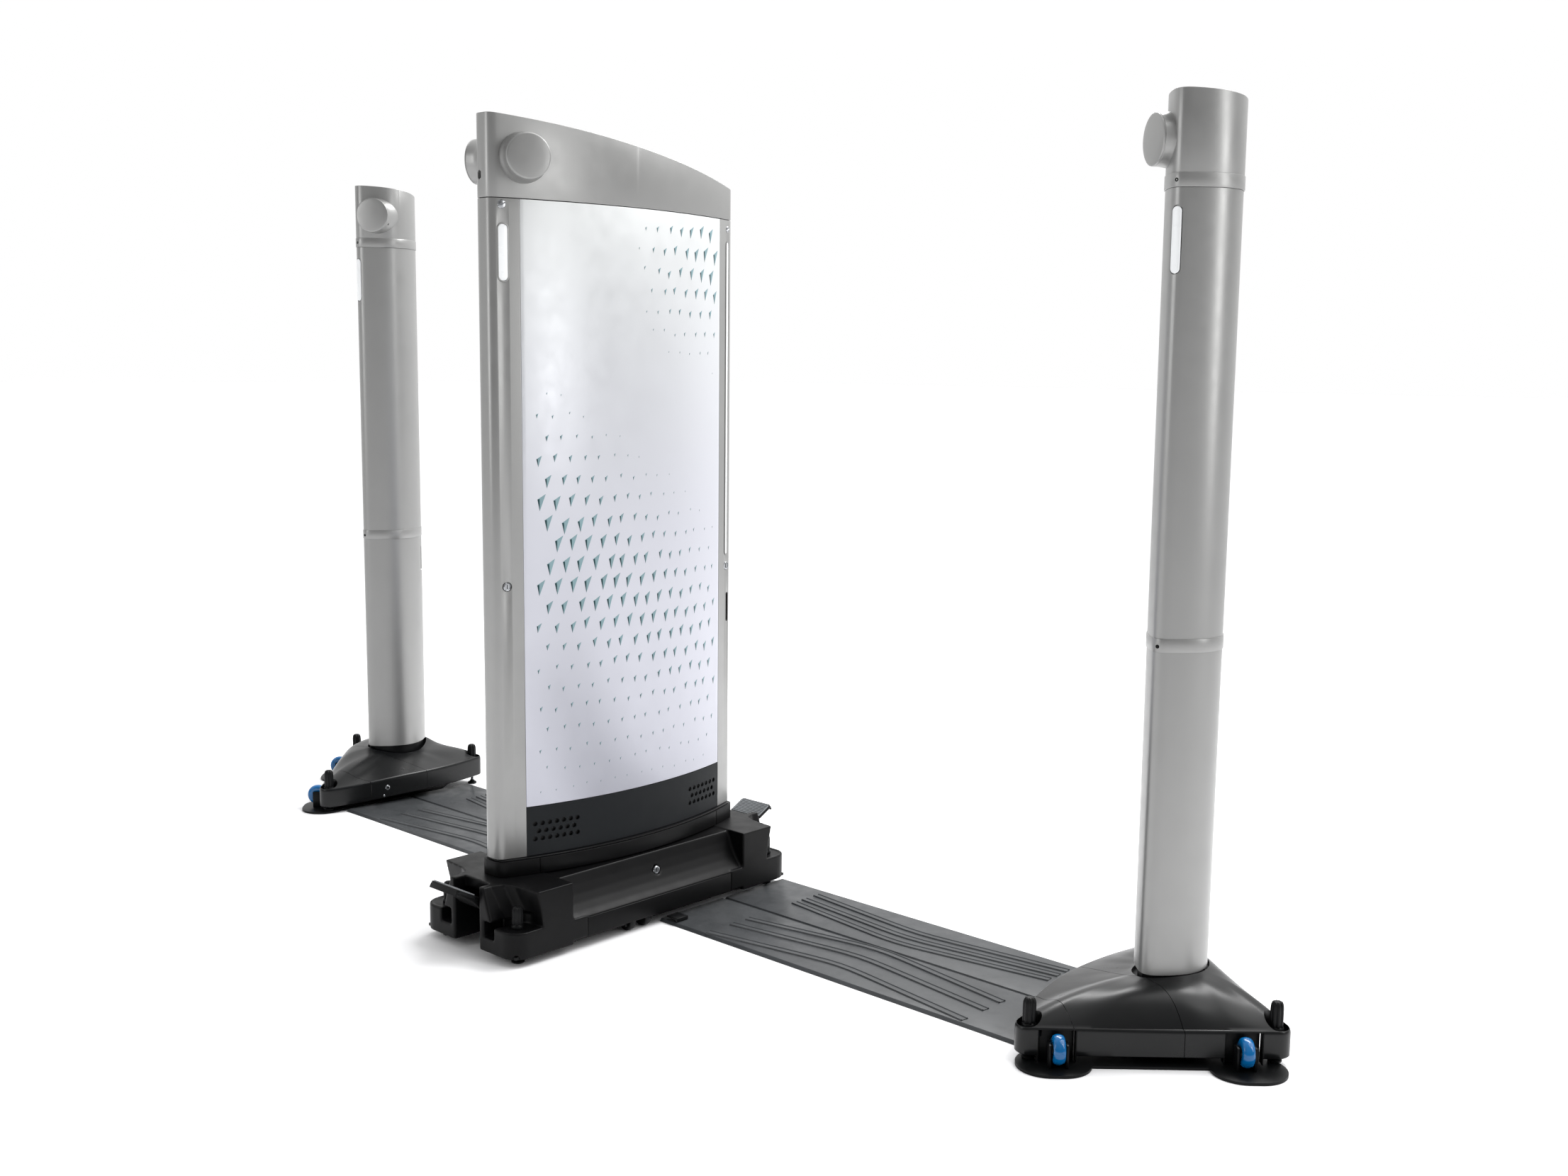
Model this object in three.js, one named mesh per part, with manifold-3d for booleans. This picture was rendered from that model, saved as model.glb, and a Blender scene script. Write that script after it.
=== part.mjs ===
// A free-standing two-lane walk-through screening gate.
// Millimetres, +Z up, X across the lanes, +Y the way people walk.
// The origin is on the floor at the middle of the centre tower.
import * as THREE from "three";
import { mergeVertices } from "three/addons/utils/BufferGeometryUtils.js";
import { ConvexGeometry } from "three/addons/geometries/ConvexGeometry.js";
import Module from "manifold-3d";

const wasm = await Module();
wasm.setup();

// ---------- driving dimensions ----------
const GAP = 0.4; // between two pieces that touch
const RUNNING = 0.1; // round a shaft that turns

const tower = {
  halfChord: 407,
  halfMiddle: 102,
  halfEnd: 28,
  endRadius: 20,
  bottom: 225,
  top: 1843,
  skin: 4,
  panelHalf: 336,
  kickTop: 351,
};
const head = { bottom: 1845, front: 2041, rear: 1924, bulge: 12, wall: 5, roof: 25 };
const plinth = { bottom: 180.4, top: 222, halfMiddle: 118, halfEnd: 38, halfChord: 411, holeX: 52, holeY: 262 };

const base = {
  halfWidth: 190,
  halfLength: 486,
  deck: 180,
  legBottom: 20,
  middleBottom: 30,
  blockStart: 301,
  skirtHalf: 254,
  skirtTop: 79,
  skirtThick: 4,
  shoulderX: 128,
  cornerRadius: 48,
  gapHalf: 50,
  gapDepth: 86,
  lipDepth: 34,
};
const pocket = { radius: 42, floor: 85 };
const socket = { x: 88, halfWidth: 21, bottom: 56, top: 97, depth: 62 };
const cavity = { halfX: 118, halfY: 282, top: 152 };
const chassis = { bottom: 21.5, top: 28.5, halfX: 176, halfY: 296, postX: 26, postY: 200, postWidth: 52 };

const centreFoot = { radius: 13, top: 139, padRadius: 17, stem: 5 };
const pylonFoot = { radius: 14, top: 137, padRadius: 15, stem: 5 };
const roller = { x: 158, y: [-96, -43], radius: 25, width: 20, axle: 4 };
const pedal = {
  y: 430,
  z: 112,
  hubRadius: 12,
  axle: 5,
  axleHalf: 60,
  plateHalf: 58,
  plateDepth: 62,
  thick: 9,
  tilt: 28,
};

const pylonAt = { x: 1500, y: 316 };
const column = {
  halfChord: 108,
  halfMiddle: 77,
  halfEnd: 11,
  endRadius: 10,
  skin: 4,
  bottom: 146,
  collarBottom: 866,
  collarTop: 895,
  collarProud: 2,
  top: 1823,
  headTop: 2020,
  headDrop: 22,
};
// The three levelling feet stand at the corners of a pylon's base, in the pylon's own frame.
const corner = { nose: [-132, -350], outer: [255, 0], rear: [-155, 198] };
// The rim is lowest along the wheeled face and rises over the first part of the way to the lane side.
const rim = { radius: 30, bottom: 22, bottomRise: 11, top: 79, topRise: 16, riseDepth: 240, bulge: 44, wall: 4 };
const dome = { shoulder: 155, ring: 9, crown: 2, columnGap: 4 };
// Each lobe: distance along the wheeled face (negative counts back from its end) and out of it.
const plate = {
  top: 6,
  lobeRadius: 68,
  lobeStretch: 13,
  lobes: { nose: [50, 26], outer: [-66, 44] },
  web: 16,
  webOut: 28,
};
const wheel = { radius: 31.5, width: 26, z: 44, out: 48, inset: [56, 74], axle: 4, slot: 41, slotTop: 79.5 };

const camera = { radius: 54, length: 45, flare: 6, edge: 3 };
const mat = { inner: 172, outer: 1330, near: 6, far: 484, thick: 8, edge: 6, groove: 5 };
const lens = { proud: 1.2, depth: 3 };
const frontLight = { y: -377, halfWidth: 13, bottom: 1648, top: 1785 };
const rearLight = { y: 377, halfWidth: 7, bottom: 934, top: 1786 };
const pylonLight = { halfWidth: 11, bottom: 1650, top: 1787 };
const lockSpots = { front: [-377, 912], rear: [377, 902] };
const LOCK_RADIUS = 11;
// Where each camera's face centre is, which way it looks (degrees from +X) and how far its root is sunk.
const towerCamera = { face: [104, -347, 1939], heading: -22, seat: 14 };
const pylonCamera = { face: [-68, -98, 1924], heading: -126, seat: 30 };

// ---------- materials ----------
function material(color, roughness, metalness) {
  return new THREE.MeshStandardMaterial({ color, roughness, metalness });
}
const SILVER = material(0xb9bcbd, 0.38, 0.55);
const PANEL = material(0xd9dade, 0.3, 0.1);
const CHARCOAL = material(0x2c2e30, 0.55, 0.0);
const MOULDED = material(0x1d1e20, 0.6, 0.0);
const GLOSSY = material(0x26282a, 0.32, 0.0);
const STEEL = material(0x17181a, 0.45, 0.6);
const GRIP = material(0x141516, 0.5, 0.0);
const BLUE = material(0x1457a8, 0.2, 0.0);
const RUBBER = material(0x3f4143, 0.7, 0.0);
const CHROME = material(0xd0d2d4, 0.15, 1.0);
const WHITE = material(0xf2f4f5, 0.25, 0.0);
const PEDAL = material(0x55575a, 0.6, 0.0);

// ---------- solids ----------
// A closed three.js geometry as a manifold solid.
function solid(geometry) {
  const bare = geometry.clone();
  bare.deleteAttribute("normal");
  bare.deleteAttribute("uv");
  const merged = mergeVertices(bare, 1e-4);
  return new wasm.Manifold(
    new wasm.Mesh({
      numProp: 3,
      vertProperties: new Float32Array(merged.attributes.position.array),
      triVerts: new Uint32Array(merged.index.array),
    }),
  );
}

function geometryOf(shape) {
  const made = shape.getMesh();
  const geometry = new THREE.BufferGeometry();
  geometry.setAttribute("position", new THREE.BufferAttribute(made.vertProperties, 3));
  geometry.setIndex(new THREE.BufferAttribute(made.triVerts, 1));
  geometry.computeVertexNormals();
  return geometry;
}

function meshOf(name, shape, finish) {
  const mesh = new THREE.Mesh(geometryOf(shape), finish);
  mesh.name = name;
  return mesh;
}

// A box from its low and high corners.
function block(low, high) {
  const size = high.map((value, axis) => value - low[axis]);
  const middle = high.map((value, axis) => (value + low[axis]) / 2);
  return solid(new THREE.BoxGeometry(...size)).translate(middle);
}

// An upright prism of a plan outline.
function prism(outline, bottom, top, curveSegments = 4) {
  const options = { depth: top - bottom, bevelEnabled: false, curveSegments };
  return solid(new THREE.ExtrudeGeometry(outline, options)).translate([0, 0, bottom]);
}

// An upright round bar.
function bar(x, y, radius, bottom, top, sides = 12) {
  const round = new THREE.CylinderGeometry(radius, radius, top - bottom, sides).rotateX(Math.PI / 2);
  return solid(round).translate([x, y, (top + bottom) / 2]);
}

// A round bar that lies along a direction given by its turn about Z from +X.
function lyingBar(middle, radius, length, turn = 0, sides = 20) {
  const round = new THREE.CylinderGeometry(radius, radius, length, sides).rotateZ(Math.PI / 2).rotateZ(turn);
  return solid(round).translate(middle);
}

function union(shapes) {
  return shapes.reduce((all, shape) => all.add(shape));
}

function cut(shape, tools) {
  return tools.reduce((left, tool) => left.subtract(tool), shape);
}

// The smallest convex solid around some rings of points.
function hull(points) {
  return solid(new ConvexGeometry(points));
}

function ringPoints(x, y, radius, z, count = 8) {
  return Array.from({ length: count }, (_, step) => {
    const turn = (2 * Math.PI * step) / count;
    return new THREE.Vector3(x + radius * Math.cos(turn), y + radius * Math.sin(turn), z);
  });
}

const SIDES = [1, -1];
const sideName = (side) => (side > 0 ? "right" : "left");
const endName = (end) => (end > 0 ? "rear" : "front");

// ---------- lens-shaped sections ----------
// Half thickness of a lens section at y: a parabola from the middle to the ends.
function halfAt(section, y) {
  const fall = section.halfMiddle - section.halfEnd;
  return section.halfMiddle - fall * (y / section.halfChord) ** 2;
}

// Points along one broad side between two places, moved outwards by grow.
function sidePoints(section, from, to, grow, steps = 8) {
  return Array.from({ length: steps + 1 }, (_, step) => {
    const y = from + ((to - from) * step) / steps;
    return new THREE.Vector2(halfAt(section, y) + grow, y);
  });
}

// The whole section: two bowed sides and two flat ends with round corners.
function lensShape(section, grow = 0) {
  const end = section.halfChord + grow;
  const round = section.endRadius;
  const start = section.halfChord - round;
  const edge = halfAt(section, start) + grow;
  const right = sidePoints(section, -start, start, grow);
  const left = right.map((point) => new THREE.Vector2(-point.x, -point.y));
  const outline = new THREE.Shape();
  outline.setFromPoints(right);
  outline.quadraticCurveTo(edge - 2, end, edge - round, end);
  outline.lineTo(round - edge, end);
  outline.quadraticCurveTo(2 - edge, end, -edge, start);
  left.slice(1).forEach((point) => outline.lineTo(point.x, point.y));
  outline.quadraticCurveTo(2 - edge, -end, round - edge, -end);
  outline.lineTo(edge - round, -end);
  outline.quadraticCurveTo(edge - 2, -end, edge, -start);
  return outline;
}

function lensTube(section, bottom, top, skin, grow = 0) {
  const outside = prism(lensShape(section, grow), bottom, top);
  return outside.subtract(prism(lensShape(section, grow - skin), bottom - 1, top + 1));
}

// ---------- centre tower ----------
const towerShell = () => lensTube(tower, tower.bottom, tower.top, tower.skin);
// A box that keeps one broad side's panel.
function panelZone(side, bottom, top) {
  const low = [side > 0 ? 30 : -150, -tower.panelHalf, bottom];
  const high = [side > 0 ? 150 : -30, tower.panelHalf, top];
  return block(low, high);
}

function panel(side) {
  return towerShell().intersect(panelZone(side, tower.kickTop + GAP, tower.top));
}

function kickPanel(side) {
  return towerShell().intersect(panelZone(side, tower.bottom, tower.kickTop));
}

// A slot-shaped tool through one flank of a trim, at a place along the section.
function flankSlot(side, y, halfWidth, bottom, top, inner, outer) {
  const x = halfAt(tower, y) * side;
  const low = [Math.min(x - side * inner, x + side * outer), y - halfWidth, bottom + halfWidth];
  const high = [Math.max(x - side * inner, x + side * outer), y + halfWidth, top - halfWidth];
  const middleX = (low[0] + high[0]) / 2;
  const ends = [low[2], high[2]].map((z) => lyingBar([middleX, y, z], halfWidth, high[0] - low[0], 0, 16));
  return union([block(low, high), ...ends]);
}

function lightSlot(light, side, grow) {
  const { y, halfWidth, bottom, top } = light;
  return flankSlot(side, y, halfWidth + grow, bottom - grow, top + grow, 14, 12);
}

// A window that fills its slot, with its face a little proud of the flank.
function lightWindow(light, side) {
  const proud = lensTube(tower, tower.bottom, tower.top, tower.skin + lens.depth, lens.proud);
  return proud.intersect(lightSlot(light, side, 0));
}

function lockHole(spot) {
  const [y, z] = spot;
  return lyingBar([halfAt(tower, y), y, z], LOCK_RADIUS + 2 * RUNNING, 40, 0, 24);
}

function trim(end) {
  const low = end > 0 ? tower.panelHalf + GAP : -600;
  const high = end > 0 ? 600 : -tower.panelHalf - GAP;
  const wrap = towerShell().intersect(block([-200, low, tower.bottom], [200, high, tower.top]));
  const light = end > 0 ? rearLight : frontLight;
  const slots = SIDES.map((side) => lightSlot(light, side, GAP));
  return cut(wrap, [...slots, lockHole(lockSpots[endName(end)])]);
}

// Height of the head's sloping, slightly bowed roof at y.
function roofAt(y) {
  const along = (y + tower.halfChord) / (2 * tower.halfChord);
  return head.front + (head.rear - head.front) * along + head.bulge * 4 * along * (1 - along);
}

function roofTool(drop) {
  const outline = new THREE.Shape();
  const reach = tower.halfChord + 20;
  const steps = 14;
  outline.moveTo(-reach, 2200);
  for (let step = 0; step <= steps; step += 1) {
    const y = -reach + (2 * reach * step) / steps;
    outline.lineTo(y, roofAt(y) - drop);
  }
  outline.lineTo(reach, 2200);
  outline.closePath();
  const options = { depth: 400, bevelEnabled: false };
  const upright = new THREE.ExtrudeGeometry(outline, options).translate(0, 0, -200);
  // The outline's x is the row's y, and its y is the row's z.
  return solid(upright.rotateX(Math.PI / 2).rotateZ(Math.PI / 2));
}

function headBlank(grow = 0) {
  return prism(lensShape(tower, grow), head.bottom, 2180).subtract(roofTool(-grow));
}

function towerHead() {
  const hollow = prism(lensShape(tower, -head.wall), head.bottom - 5, 2180).subtract(roofTool(head.roof));
  return headBlank().subtract(hollow);
}

// A camera barrel along +Z from its seat at 0, with a flared foot and a slightly domed face.
function cameraBarrel(seat) {
  const profile = [
    [0, -seat],
    [camera.radius + camera.flare, -seat],
    [camera.radius + camera.flare, 4],
    [camera.radius, 14],
    [camera.radius, camera.length - camera.edge],
    [camera.radius - camera.edge, camera.length],
    [camera.radius - 14, camera.length + 1.5],
    [0, camera.length + 2.5],
  ];
  const points = profile.map(([radius, along]) => new THREE.Vector2(radius, along));
  return new THREE.LatheGeometry(points, 20).rotateX(Math.PI / 2);
}

// A barrel whose face centre is at face, pointing along heading (degrees from +X), cut to what it sits on.
function cameraOn(face, heading, seat, body) {
  const turn = THREE.MathUtils.degToRad(heading);
  const barrel = cameraBarrel(seat).rotateY(Math.PI / 2).rotateZ(turn);
  const foot = [
    face[0] - camera.length * Math.cos(turn),
    face[1] - camera.length * Math.sin(turn),
    face[2],
  ];
  return solid(barrel).translate(foot).subtract(body);
}

// ---------- centre base ----------
function roundedPlan(halfX, halfY, radius) {
  const outline = new THREE.Shape();
  outline.moveTo(halfX, -halfY + radius);
  outline.lineTo(halfX, halfY - radius);
  outline.absarc(halfX - radius, halfY - radius, radius, 0, Math.PI / 2);
  outline.lineTo(radius - halfX, halfY);
  outline.absarc(radius - halfX, halfY - radius, radius, Math.PI / 2, Math.PI);
  outline.lineTo(-halfX, radius - halfY);
  outline.absarc(radius - halfX, radius - halfY, radius, Math.PI, 1.5 * Math.PI);
  outline.lineTo(halfX - radius, -halfY);
  outline.absarc(halfX - radius, radius - halfY, radius, 1.5 * Math.PI, 2 * Math.PI);
  return outline;
}

// The cross-section between the end blocks: upright sides, then slopes up to the plinth.
function middleBody() {
  const side = base.halfWidth - base.skirtThick - GAP;
  const outline = new THREE.Shape();
  outline.moveTo(-side, base.middleBottom);
  outline.lineTo(side, base.middleBottom);
  outline.lineTo(side, base.skirtTop + GAP);
  outline.lineTo(base.halfWidth, base.skirtTop + GAP);
  outline.quadraticCurveTo(base.shoulderX + 22, 112, base.shoulderX, base.deck - 3);
  outline.lineTo(-base.shoulderX, base.deck - 3);
  outline.quadraticCurveTo(-base.shoulderX - 22, 112, -base.halfWidth, base.skirtTop + GAP);
  outline.lineTo(-side, base.skirtTop + GAP);
  outline.closePath();
  const options = { depth: 2 * base.blockStart, bevelEnabled: false, curveSegments: 5 };
  const lying = new THREE.ExtrudeGeometry(outline, options).translate(0, 0, -base.blockStart);
  return solid(lying.rotateX(Math.PI / 2));
}

// One end block, down to the floor gap, with its upright face towards the middle.
function endBlock(end) {
  const whole = prism(roundedPlan(base.halfWidth, base.halfLength, base.cornerRadius), base.legBottom, base.deck);
  const low = end > 0 ? base.blockStart - 1 : -600;
  const high = end > 0 ? 600 : 1 - base.blockStart;
  return whole.intersect(block([-300, low, 0], [300, high, 400]));
}

// The low ledge that joins an end block to the skirts.
function ledge(end) {
  const y = [base.skirtHalf + GAP, base.blockStart].map((value) => value * end);
  return block(
    [-base.halfWidth, Math.min(...y), base.middleBottom],
    [base.halfWidth, Math.max(...y), base.skirtTop + 5],
  );
}

const footSpot = { x: base.halfWidth - base.cornerRadius, y: base.halfLength - base.cornerRadius };

// The scoop around a levelling knob: a round floor, with walls that lean back above it.
function pocketTool(side, end) {
  const { x, y } = footSpot;
  const well = bar(x, y, pocket.radius, pocket.floor, pocket.floor + 30, 16);
  const sweep = [
    ...ringPoints(x, y, pocket.radius, pocket.floor + 3),
    ...ringPoints(x + 90, y + 90, pocket.radius, pocket.floor + 3),
    ...ringPoints(x, y + 120, pocket.radius, pocket.floor + 3),
    ...ringPoints(x + 120, y, pocket.radius, pocket.floor + 3),
    ...ringPoints(x - 40, y + 30, pocket.radius, base.deck + 20),
    ...ringPoints(x + 120, y + 14, pocket.radius, base.deck + 20),
    ...ringPoints(x + 90, y + 110, pocket.radius, base.deck + 20),
    ...ringPoints(x - 30, y + 130, pocket.radius, base.deck + 20),
  ];
  return mirrored(union([well, hull(sweep)]), side, end);
}

function mirrored(shape, side, end) {
  const across = side < 0 ? shape.mirror([1, 0, 0]) : shape;
  return end < 0 ? across.mirror([0, 1, 0]) : across;
}

// A copy of a tool for each of the four corners.
function atCorners(tool) {
  return SIDES.flatMap((side) => SIDES.map((end) => mirrored(tool, side, end)));
}

function legGap(end) {
  const from = base.halfLength - base.gapDepth;
  const deep = block([-base.gapHalf, from, 0], [base.gapHalf, 600, 152]);
  const open = block([-base.gapHalf, base.halfLength - base.lipDepth, 0], [base.gapHalf, 600, 300]);
  return mirrored(union([deep, open]), 1, end);
}

function socketTool() {
  const { x, halfWidth, bottom, top, depth } = socket;
  return block([x - halfWidth, base.halfLength - depth, bottom], [x + halfWidth, 600, top]);
}

// The wheel house above a roller, with room for the bearing ears.
function rollerHouse(side, top) {
  const { x, y, radius, width } = roller;
  const low = [x - radius - 3, y[0] - width / 2 - 14, 0];
  const high = [x + radius + 2, y[1] + width / 2 + 14, top];
  return mirrored(block(low, high), side, 1);
}

function platePlan(grow) {
  const middle = block(
    [-chassis.halfX - grow, -chassis.halfY - grow, chassis.bottom - grow],
    [chassis.halfX + grow, chassis.halfY + grow, chassis.top + grow],
  );
  const tongue = block(
    [62 - grow, chassis.halfY - 10, chassis.bottom - grow],
    [180 + grow, base.halfLength - 12 + grow, chassis.top + grow],
  );
  return union([middle, ...atCorners(tongue)]);
}

function baseCover() {
  const body = union([middleBody(), ...SIDES.map(endBlock), ...SIDES.map(ledge)]);
  const belowPlate = block([-400, -700, 0], [400, 700, chassis.bottom - GAP]);
  const plateRoom = platePlan(GAP).add(platePlan(GAP).translate([0, 0, -6])).subtract(belowPlate);
  const mouth = block([-plinth.holeX, -plinth.holeY, 100], [plinth.holeX, plinth.holeY, 300]);
  const lockBore = lyingBar([150, 16, 132], LOCK_RADIUS + 2 * RUNNING, 90, 0, 24);
  const pedalBore = lyingBar([0, pedal.y, pedal.z], pedal.axle + RUNNING, 2 * pedal.axleHalf + 4, 0, 24);
  const tools = [
    ...SIDES.flatMap((side) => SIDES.map((end) => pocketTool(side, end))),
    ...SIDES.map(legGap),
    ...SIDES.map((end) => mirrored(pedalBore, 1, end)),
    ...atCorners(socketTool()),
    ...atCorners(bar(footSpot.x, footSpot.y, centreFoot.padRadius + 2, 0, chassis.top + 3)),
    ...atCorners(bar(footSpot.x, footSpot.y, centreFoot.stem + 1, 0, 120)),
    ...SIDES.map((side) => rollerHouse(side, 58)),
    plateRoom,
    block([-cavity.halfX, -cavity.halfY, 0], [cavity.halfX, cavity.halfY, cavity.top]),
    mouth,
    lockBore,
  ];
  return cut(body, tools);
}

function skirt(side) {
  const x = [base.halfWidth - base.skirtThick, base.halfWidth].map((value) => value * side);
  return block(
    [Math.min(...x), -base.skirtHalf, base.middleBottom],
    [Math.max(...x), base.skirtHalf, base.skirtTop],
  );
}

function towerPlinth() {
  const section = { ...plinth, endRadius: 24 };
  const ring = prism(lensShape(section), plinth.bottom, plinth.top);
  const well = block([-plinth.holeX, -plinth.holeY, 0], [plinth.holeX, plinth.holeY, 400]);
  return ring.subtract(well);
}

// Bearing ears hold a roller's axle at both of its ends.
function rollerEars(side) {
  const { x, y, width } = roller;
  const ends = [y[0] - width / 2 - 9, y[1] + width / 2 + 3];
  const ears = ends.map((from) => block([x - 14, from, 14], [x + 14, from + 6, 38]));
  const roots = ends.map((from) => block([x - 36, from, chassis.bottom], [x + 14, from + 6, chassis.top]));
  const bore = lyingBar([x, (y[0] + y[1]) / 2, roller.radius], roller.axle + RUNNING, 200, Math.PI / 2, 24);
  return mirrored(union([...ears, ...roots]).subtract(bore), side, 1);
}

function towerChassis() {
  const holes = [
    ...SIDES.map((side) => rollerHouse(side, 80)),
    ...atCorners(bar(footSpot.x, footSpot.y, centreFoot.padRadius + 2, 0, 60)),
    ...SIDES.map(legGap),
  ];
  const floor = cut(platePlan(0), holes);
  const { postX, postY, postWidth } = chassis;
  const posts = SIDES.map((end) => {
    const y = end * postY;
    return block([-postX, y - postWidth / 2, chassis.top - 1], [postX, y + postWidth / 2, tower.top]);
  });
  const rungs = [240, 800, 1320, tower.top - 40].map((z) =>
    block([-postX, -postY, z], [postX, postY, z + 40]),
  );
  return union([floor, ...posts, ...rungs, ...SIDES.map(rollerEars)]);
}

// ---------- moving pieces of the centre base ----------
// A levelling foot about its own axis: pad, screw and hand knob in one turned piece.
function levellingFoot(spec, bottom, knobBottom) {
  const profile = [
    [0, bottom],
    [spec.padRadius, bottom],
    [spec.padRadius, bottom + 5],
    [spec.stem + 2, bottom + 9],
    [spec.stem, bottom + 10],
    [spec.stem, knobBottom - 4],
    [spec.radius - 2, knobBottom - 4],
    [spec.radius, knobBottom],
    [spec.radius, spec.top - 8],
    [spec.radius - 4, spec.top],
    [0, spec.top],
  ];
  const points = profile.map(([radius, z]) => new THREE.Vector2(radius, z));
  return solid(new THREE.LatheGeometry(points, 8).rotateX(Math.PI / 2));
}

function rollerPair() {
  const middle = (roller.y[0] + roller.y[1]) / 2;
  const wheels = roller.y.map((y) => lyingBar([0, y - middle, 0], roller.radius, roller.width, Math.PI / 2, 16));
  const span = roller.y[1] - roller.y[0] + roller.width + 20;
  return union([...wheels, lyingBar([0, 0, 0], roller.axle, span, Math.PI / 2, 12)]);
}

// A foot pedal about its hub, reaching towards +Y.
function pedalShape() {
  const armHalf = base.gapHalf - 6;
  const hub = lyingBar([0, 0, 0], pedal.hubRadius, 2 * base.gapHalf - 4, 0, 16);
  const axle = lyingBar([0, 0, 0], pedal.axle, 2 * pedal.axleHalf, 0, 12);
  const arm = hull([
    ...[-armHalf, armHalf].flatMap((x) => [new THREE.Vector3(x, 0, 10), new THREE.Vector3(x, 0, -10)]),
    ...[-armHalf, armHalf].flatMap((x) => [new THREE.Vector3(x, 72, 52), new THREE.Vector3(x, 72, 40)]),
  ]);
  const tilt = THREE.MathUtils.degToRad(pedal.tilt);
  const flat = roundedPlan(pedal.plateHalf, pedal.plateDepth / 2, 10);
  const board = prism(flat, 0, pedal.thick, 3).rotate([pedal.tilt, 0, 0]);
  const lip = block([-pedal.plateHalf + 4, -6, -12], [pedal.plateHalf - 4, 0, 2]);
  const lipAt = lip.translate([0, pedal.plateDepth / 2, 0]).rotate([pedal.tilt, 0, 0]);
  const reach = 68 + (pedal.plateDepth / 2) * Math.cos(tilt);
  return union([hub, axle, arm, union([board, lipAt]).translate([0, reach, 56])]);
}

// A lock barrel along +X about its own axis, with a bevelled face and a key slit.
function lockBarrel(length) {
  const profile = [
    [0, 0],
    [LOCK_RADIUS - 2, 0],
    [LOCK_RADIUS - 2, length - 5],
    [LOCK_RADIUS, length - 5],
    [LOCK_RADIUS, length - 1.5],
    [LOCK_RADIUS - 1.5, length],
    [0, length],
  ];
  const points = profile.map(([radius, along]) => new THREE.Vector2(radius, along));
  const barrel = solid(new THREE.LatheGeometry(points, 12).rotateZ(-Math.PI / 2));
  return barrel.subtract(block([length - 3, -1.2, -6], [length + 1, 1.2, 6]));
}

// ---------- pylons, in their own frame with +X away from the lane ----------
const faceLine = (() => {
  const [ax, ay] = corner.nose;
  const [bx, by] = corner.outer;
  const length = Math.hypot(bx - ax, by - ay);
  const along = [(bx - ax) / length, (by - ay) / length];
  return { along, out: [along[1], -along[0]], length, turn: Math.atan2(along[1], along[0]) };
})();

// How far the rim has risen at a place: 0 on the wheeled face, 1 from riseDepth inwards.
function rimRise(x, y) {
  const [ax, ay] = corner.nose;
  const inward = (ax - x) * faceLine.out[0] + (ay - y) * faceLine.out[1];
  return THREE.MathUtils.clamp(inward / rim.riseDepth, 0, 1);
}

// The plan of the base: three round corners, a straight wheeled face and a bowed lane side.
function rimPoints(inset, level, rise) {
  const radius = rim.radius - inset;
  const corners = Object.values(corner).flatMap(([x, y]) => ringPoints(x, y, radius, 0, 12));
  const [noseX, noseY] = corner.nose;
  const [rearX, rearY] = corner.rear;
  const steps = 6;
  const laneSide = Array.from({ length: steps - 1 }, (_, step) => {
    const along = (step + 1) / steps;
    const x = noseX + (rearX - noseX) * along - rim.bulge * 4 * along * (1 - along) - radius;
    return new THREE.Vector3(x, noseY + (rearY - noseY) * along, 0);
  });
  return [...corners, ...laneSide].map(({ x, y }) => new THREE.Vector3(x, y, level + rise * rimRise(x, y)));
}

// The dome: an upright rim, then a bowed cap that rises to the column.
function domeBody(inset, drop) {
  const ringZ = dome.shoulder - inset;
  const outline = lensShape(column, dome.ring - inset).getPoints(2);
  const ring = outline.map(({ x, y }) => new THREE.Vector3(x, y, ringZ));
  const low = rimPoints(inset, rim.bottom - drop, rim.bottomRise);
  const top = rimPoints(inset, rim.top - inset, rim.topRise);
  const bowed = top.map(
    ({ x, y, z }) => new THREE.Vector3(x * 0.58, y * 0.58, z + (ringZ - z) * 0.56 + dome.crown),
  );
  return hull([...low, ...top, ...bowed, ...ring]);
}

// A point by its distance along the wheeled face from the nose corner, and its distance out of it.
function onFace(along, out) {
  const [ax, ay] = corner.nose;
  return [
    ax + faceLine.along[0] * along + faceLine.out[0] * out,
    ay + faceLine.along[1] * along + faceLine.out[1] * out,
  ];
}

const wheelSpots = {
  nose: onFace(wheel.inset[0], wheel.out),
  outer: onFace(faceLine.length - wheel.inset[1], wheel.out),
};

// A box lined up with the wheeled face, around a spot.
function faceBox(spot, halfAlong, inward, outward, bottom, top) {
  const turn = THREE.MathUtils.radToDeg(faceLine.turn);
  const blank = block([-halfAlong, -outward, bottom], [halfAlong, inward, top]);
  return blank.rotate([0, 0, turn]).translate([spot[0], spot[1], 0]);
}

// A half space on one side of a seam through a point, at a heading from +X.
function seamHalf(point, heading, keepLeft) {
  const big = keepLeft ? block([-900, GAP, -10], [900, 1500, 600]) : block([-900, -1500, -10], [900, -GAP, 600]);
  return big.rotate([0, 0, heading]).translate([point[0], point[1], 0]);
}

const seams = { nose: { at: [-100, -283], heading: -27 }, middle: { at: [0, -110], heading: -20 } };

function domeShell() {
  const shell = domeBody(0, 0).subtract(domeBody(rim.wall, 60));
  const columnHole = prism(lensShape(column, dome.columnGap), 60, 400);
  const wheelSlots = Object.values(wheelSpots).map((spot) => faceBox(spot, wheel.slot, 60, 90, 0, wheel.slotTop));
  const stemHoles = Object.values(corner).map(([x, y]) => bar(x, y, pylonFoot.radius + 1, 0, 400));
  return cut(shell, [columnHole, ...wheelSlots, ...stemHoles]);
}

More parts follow.
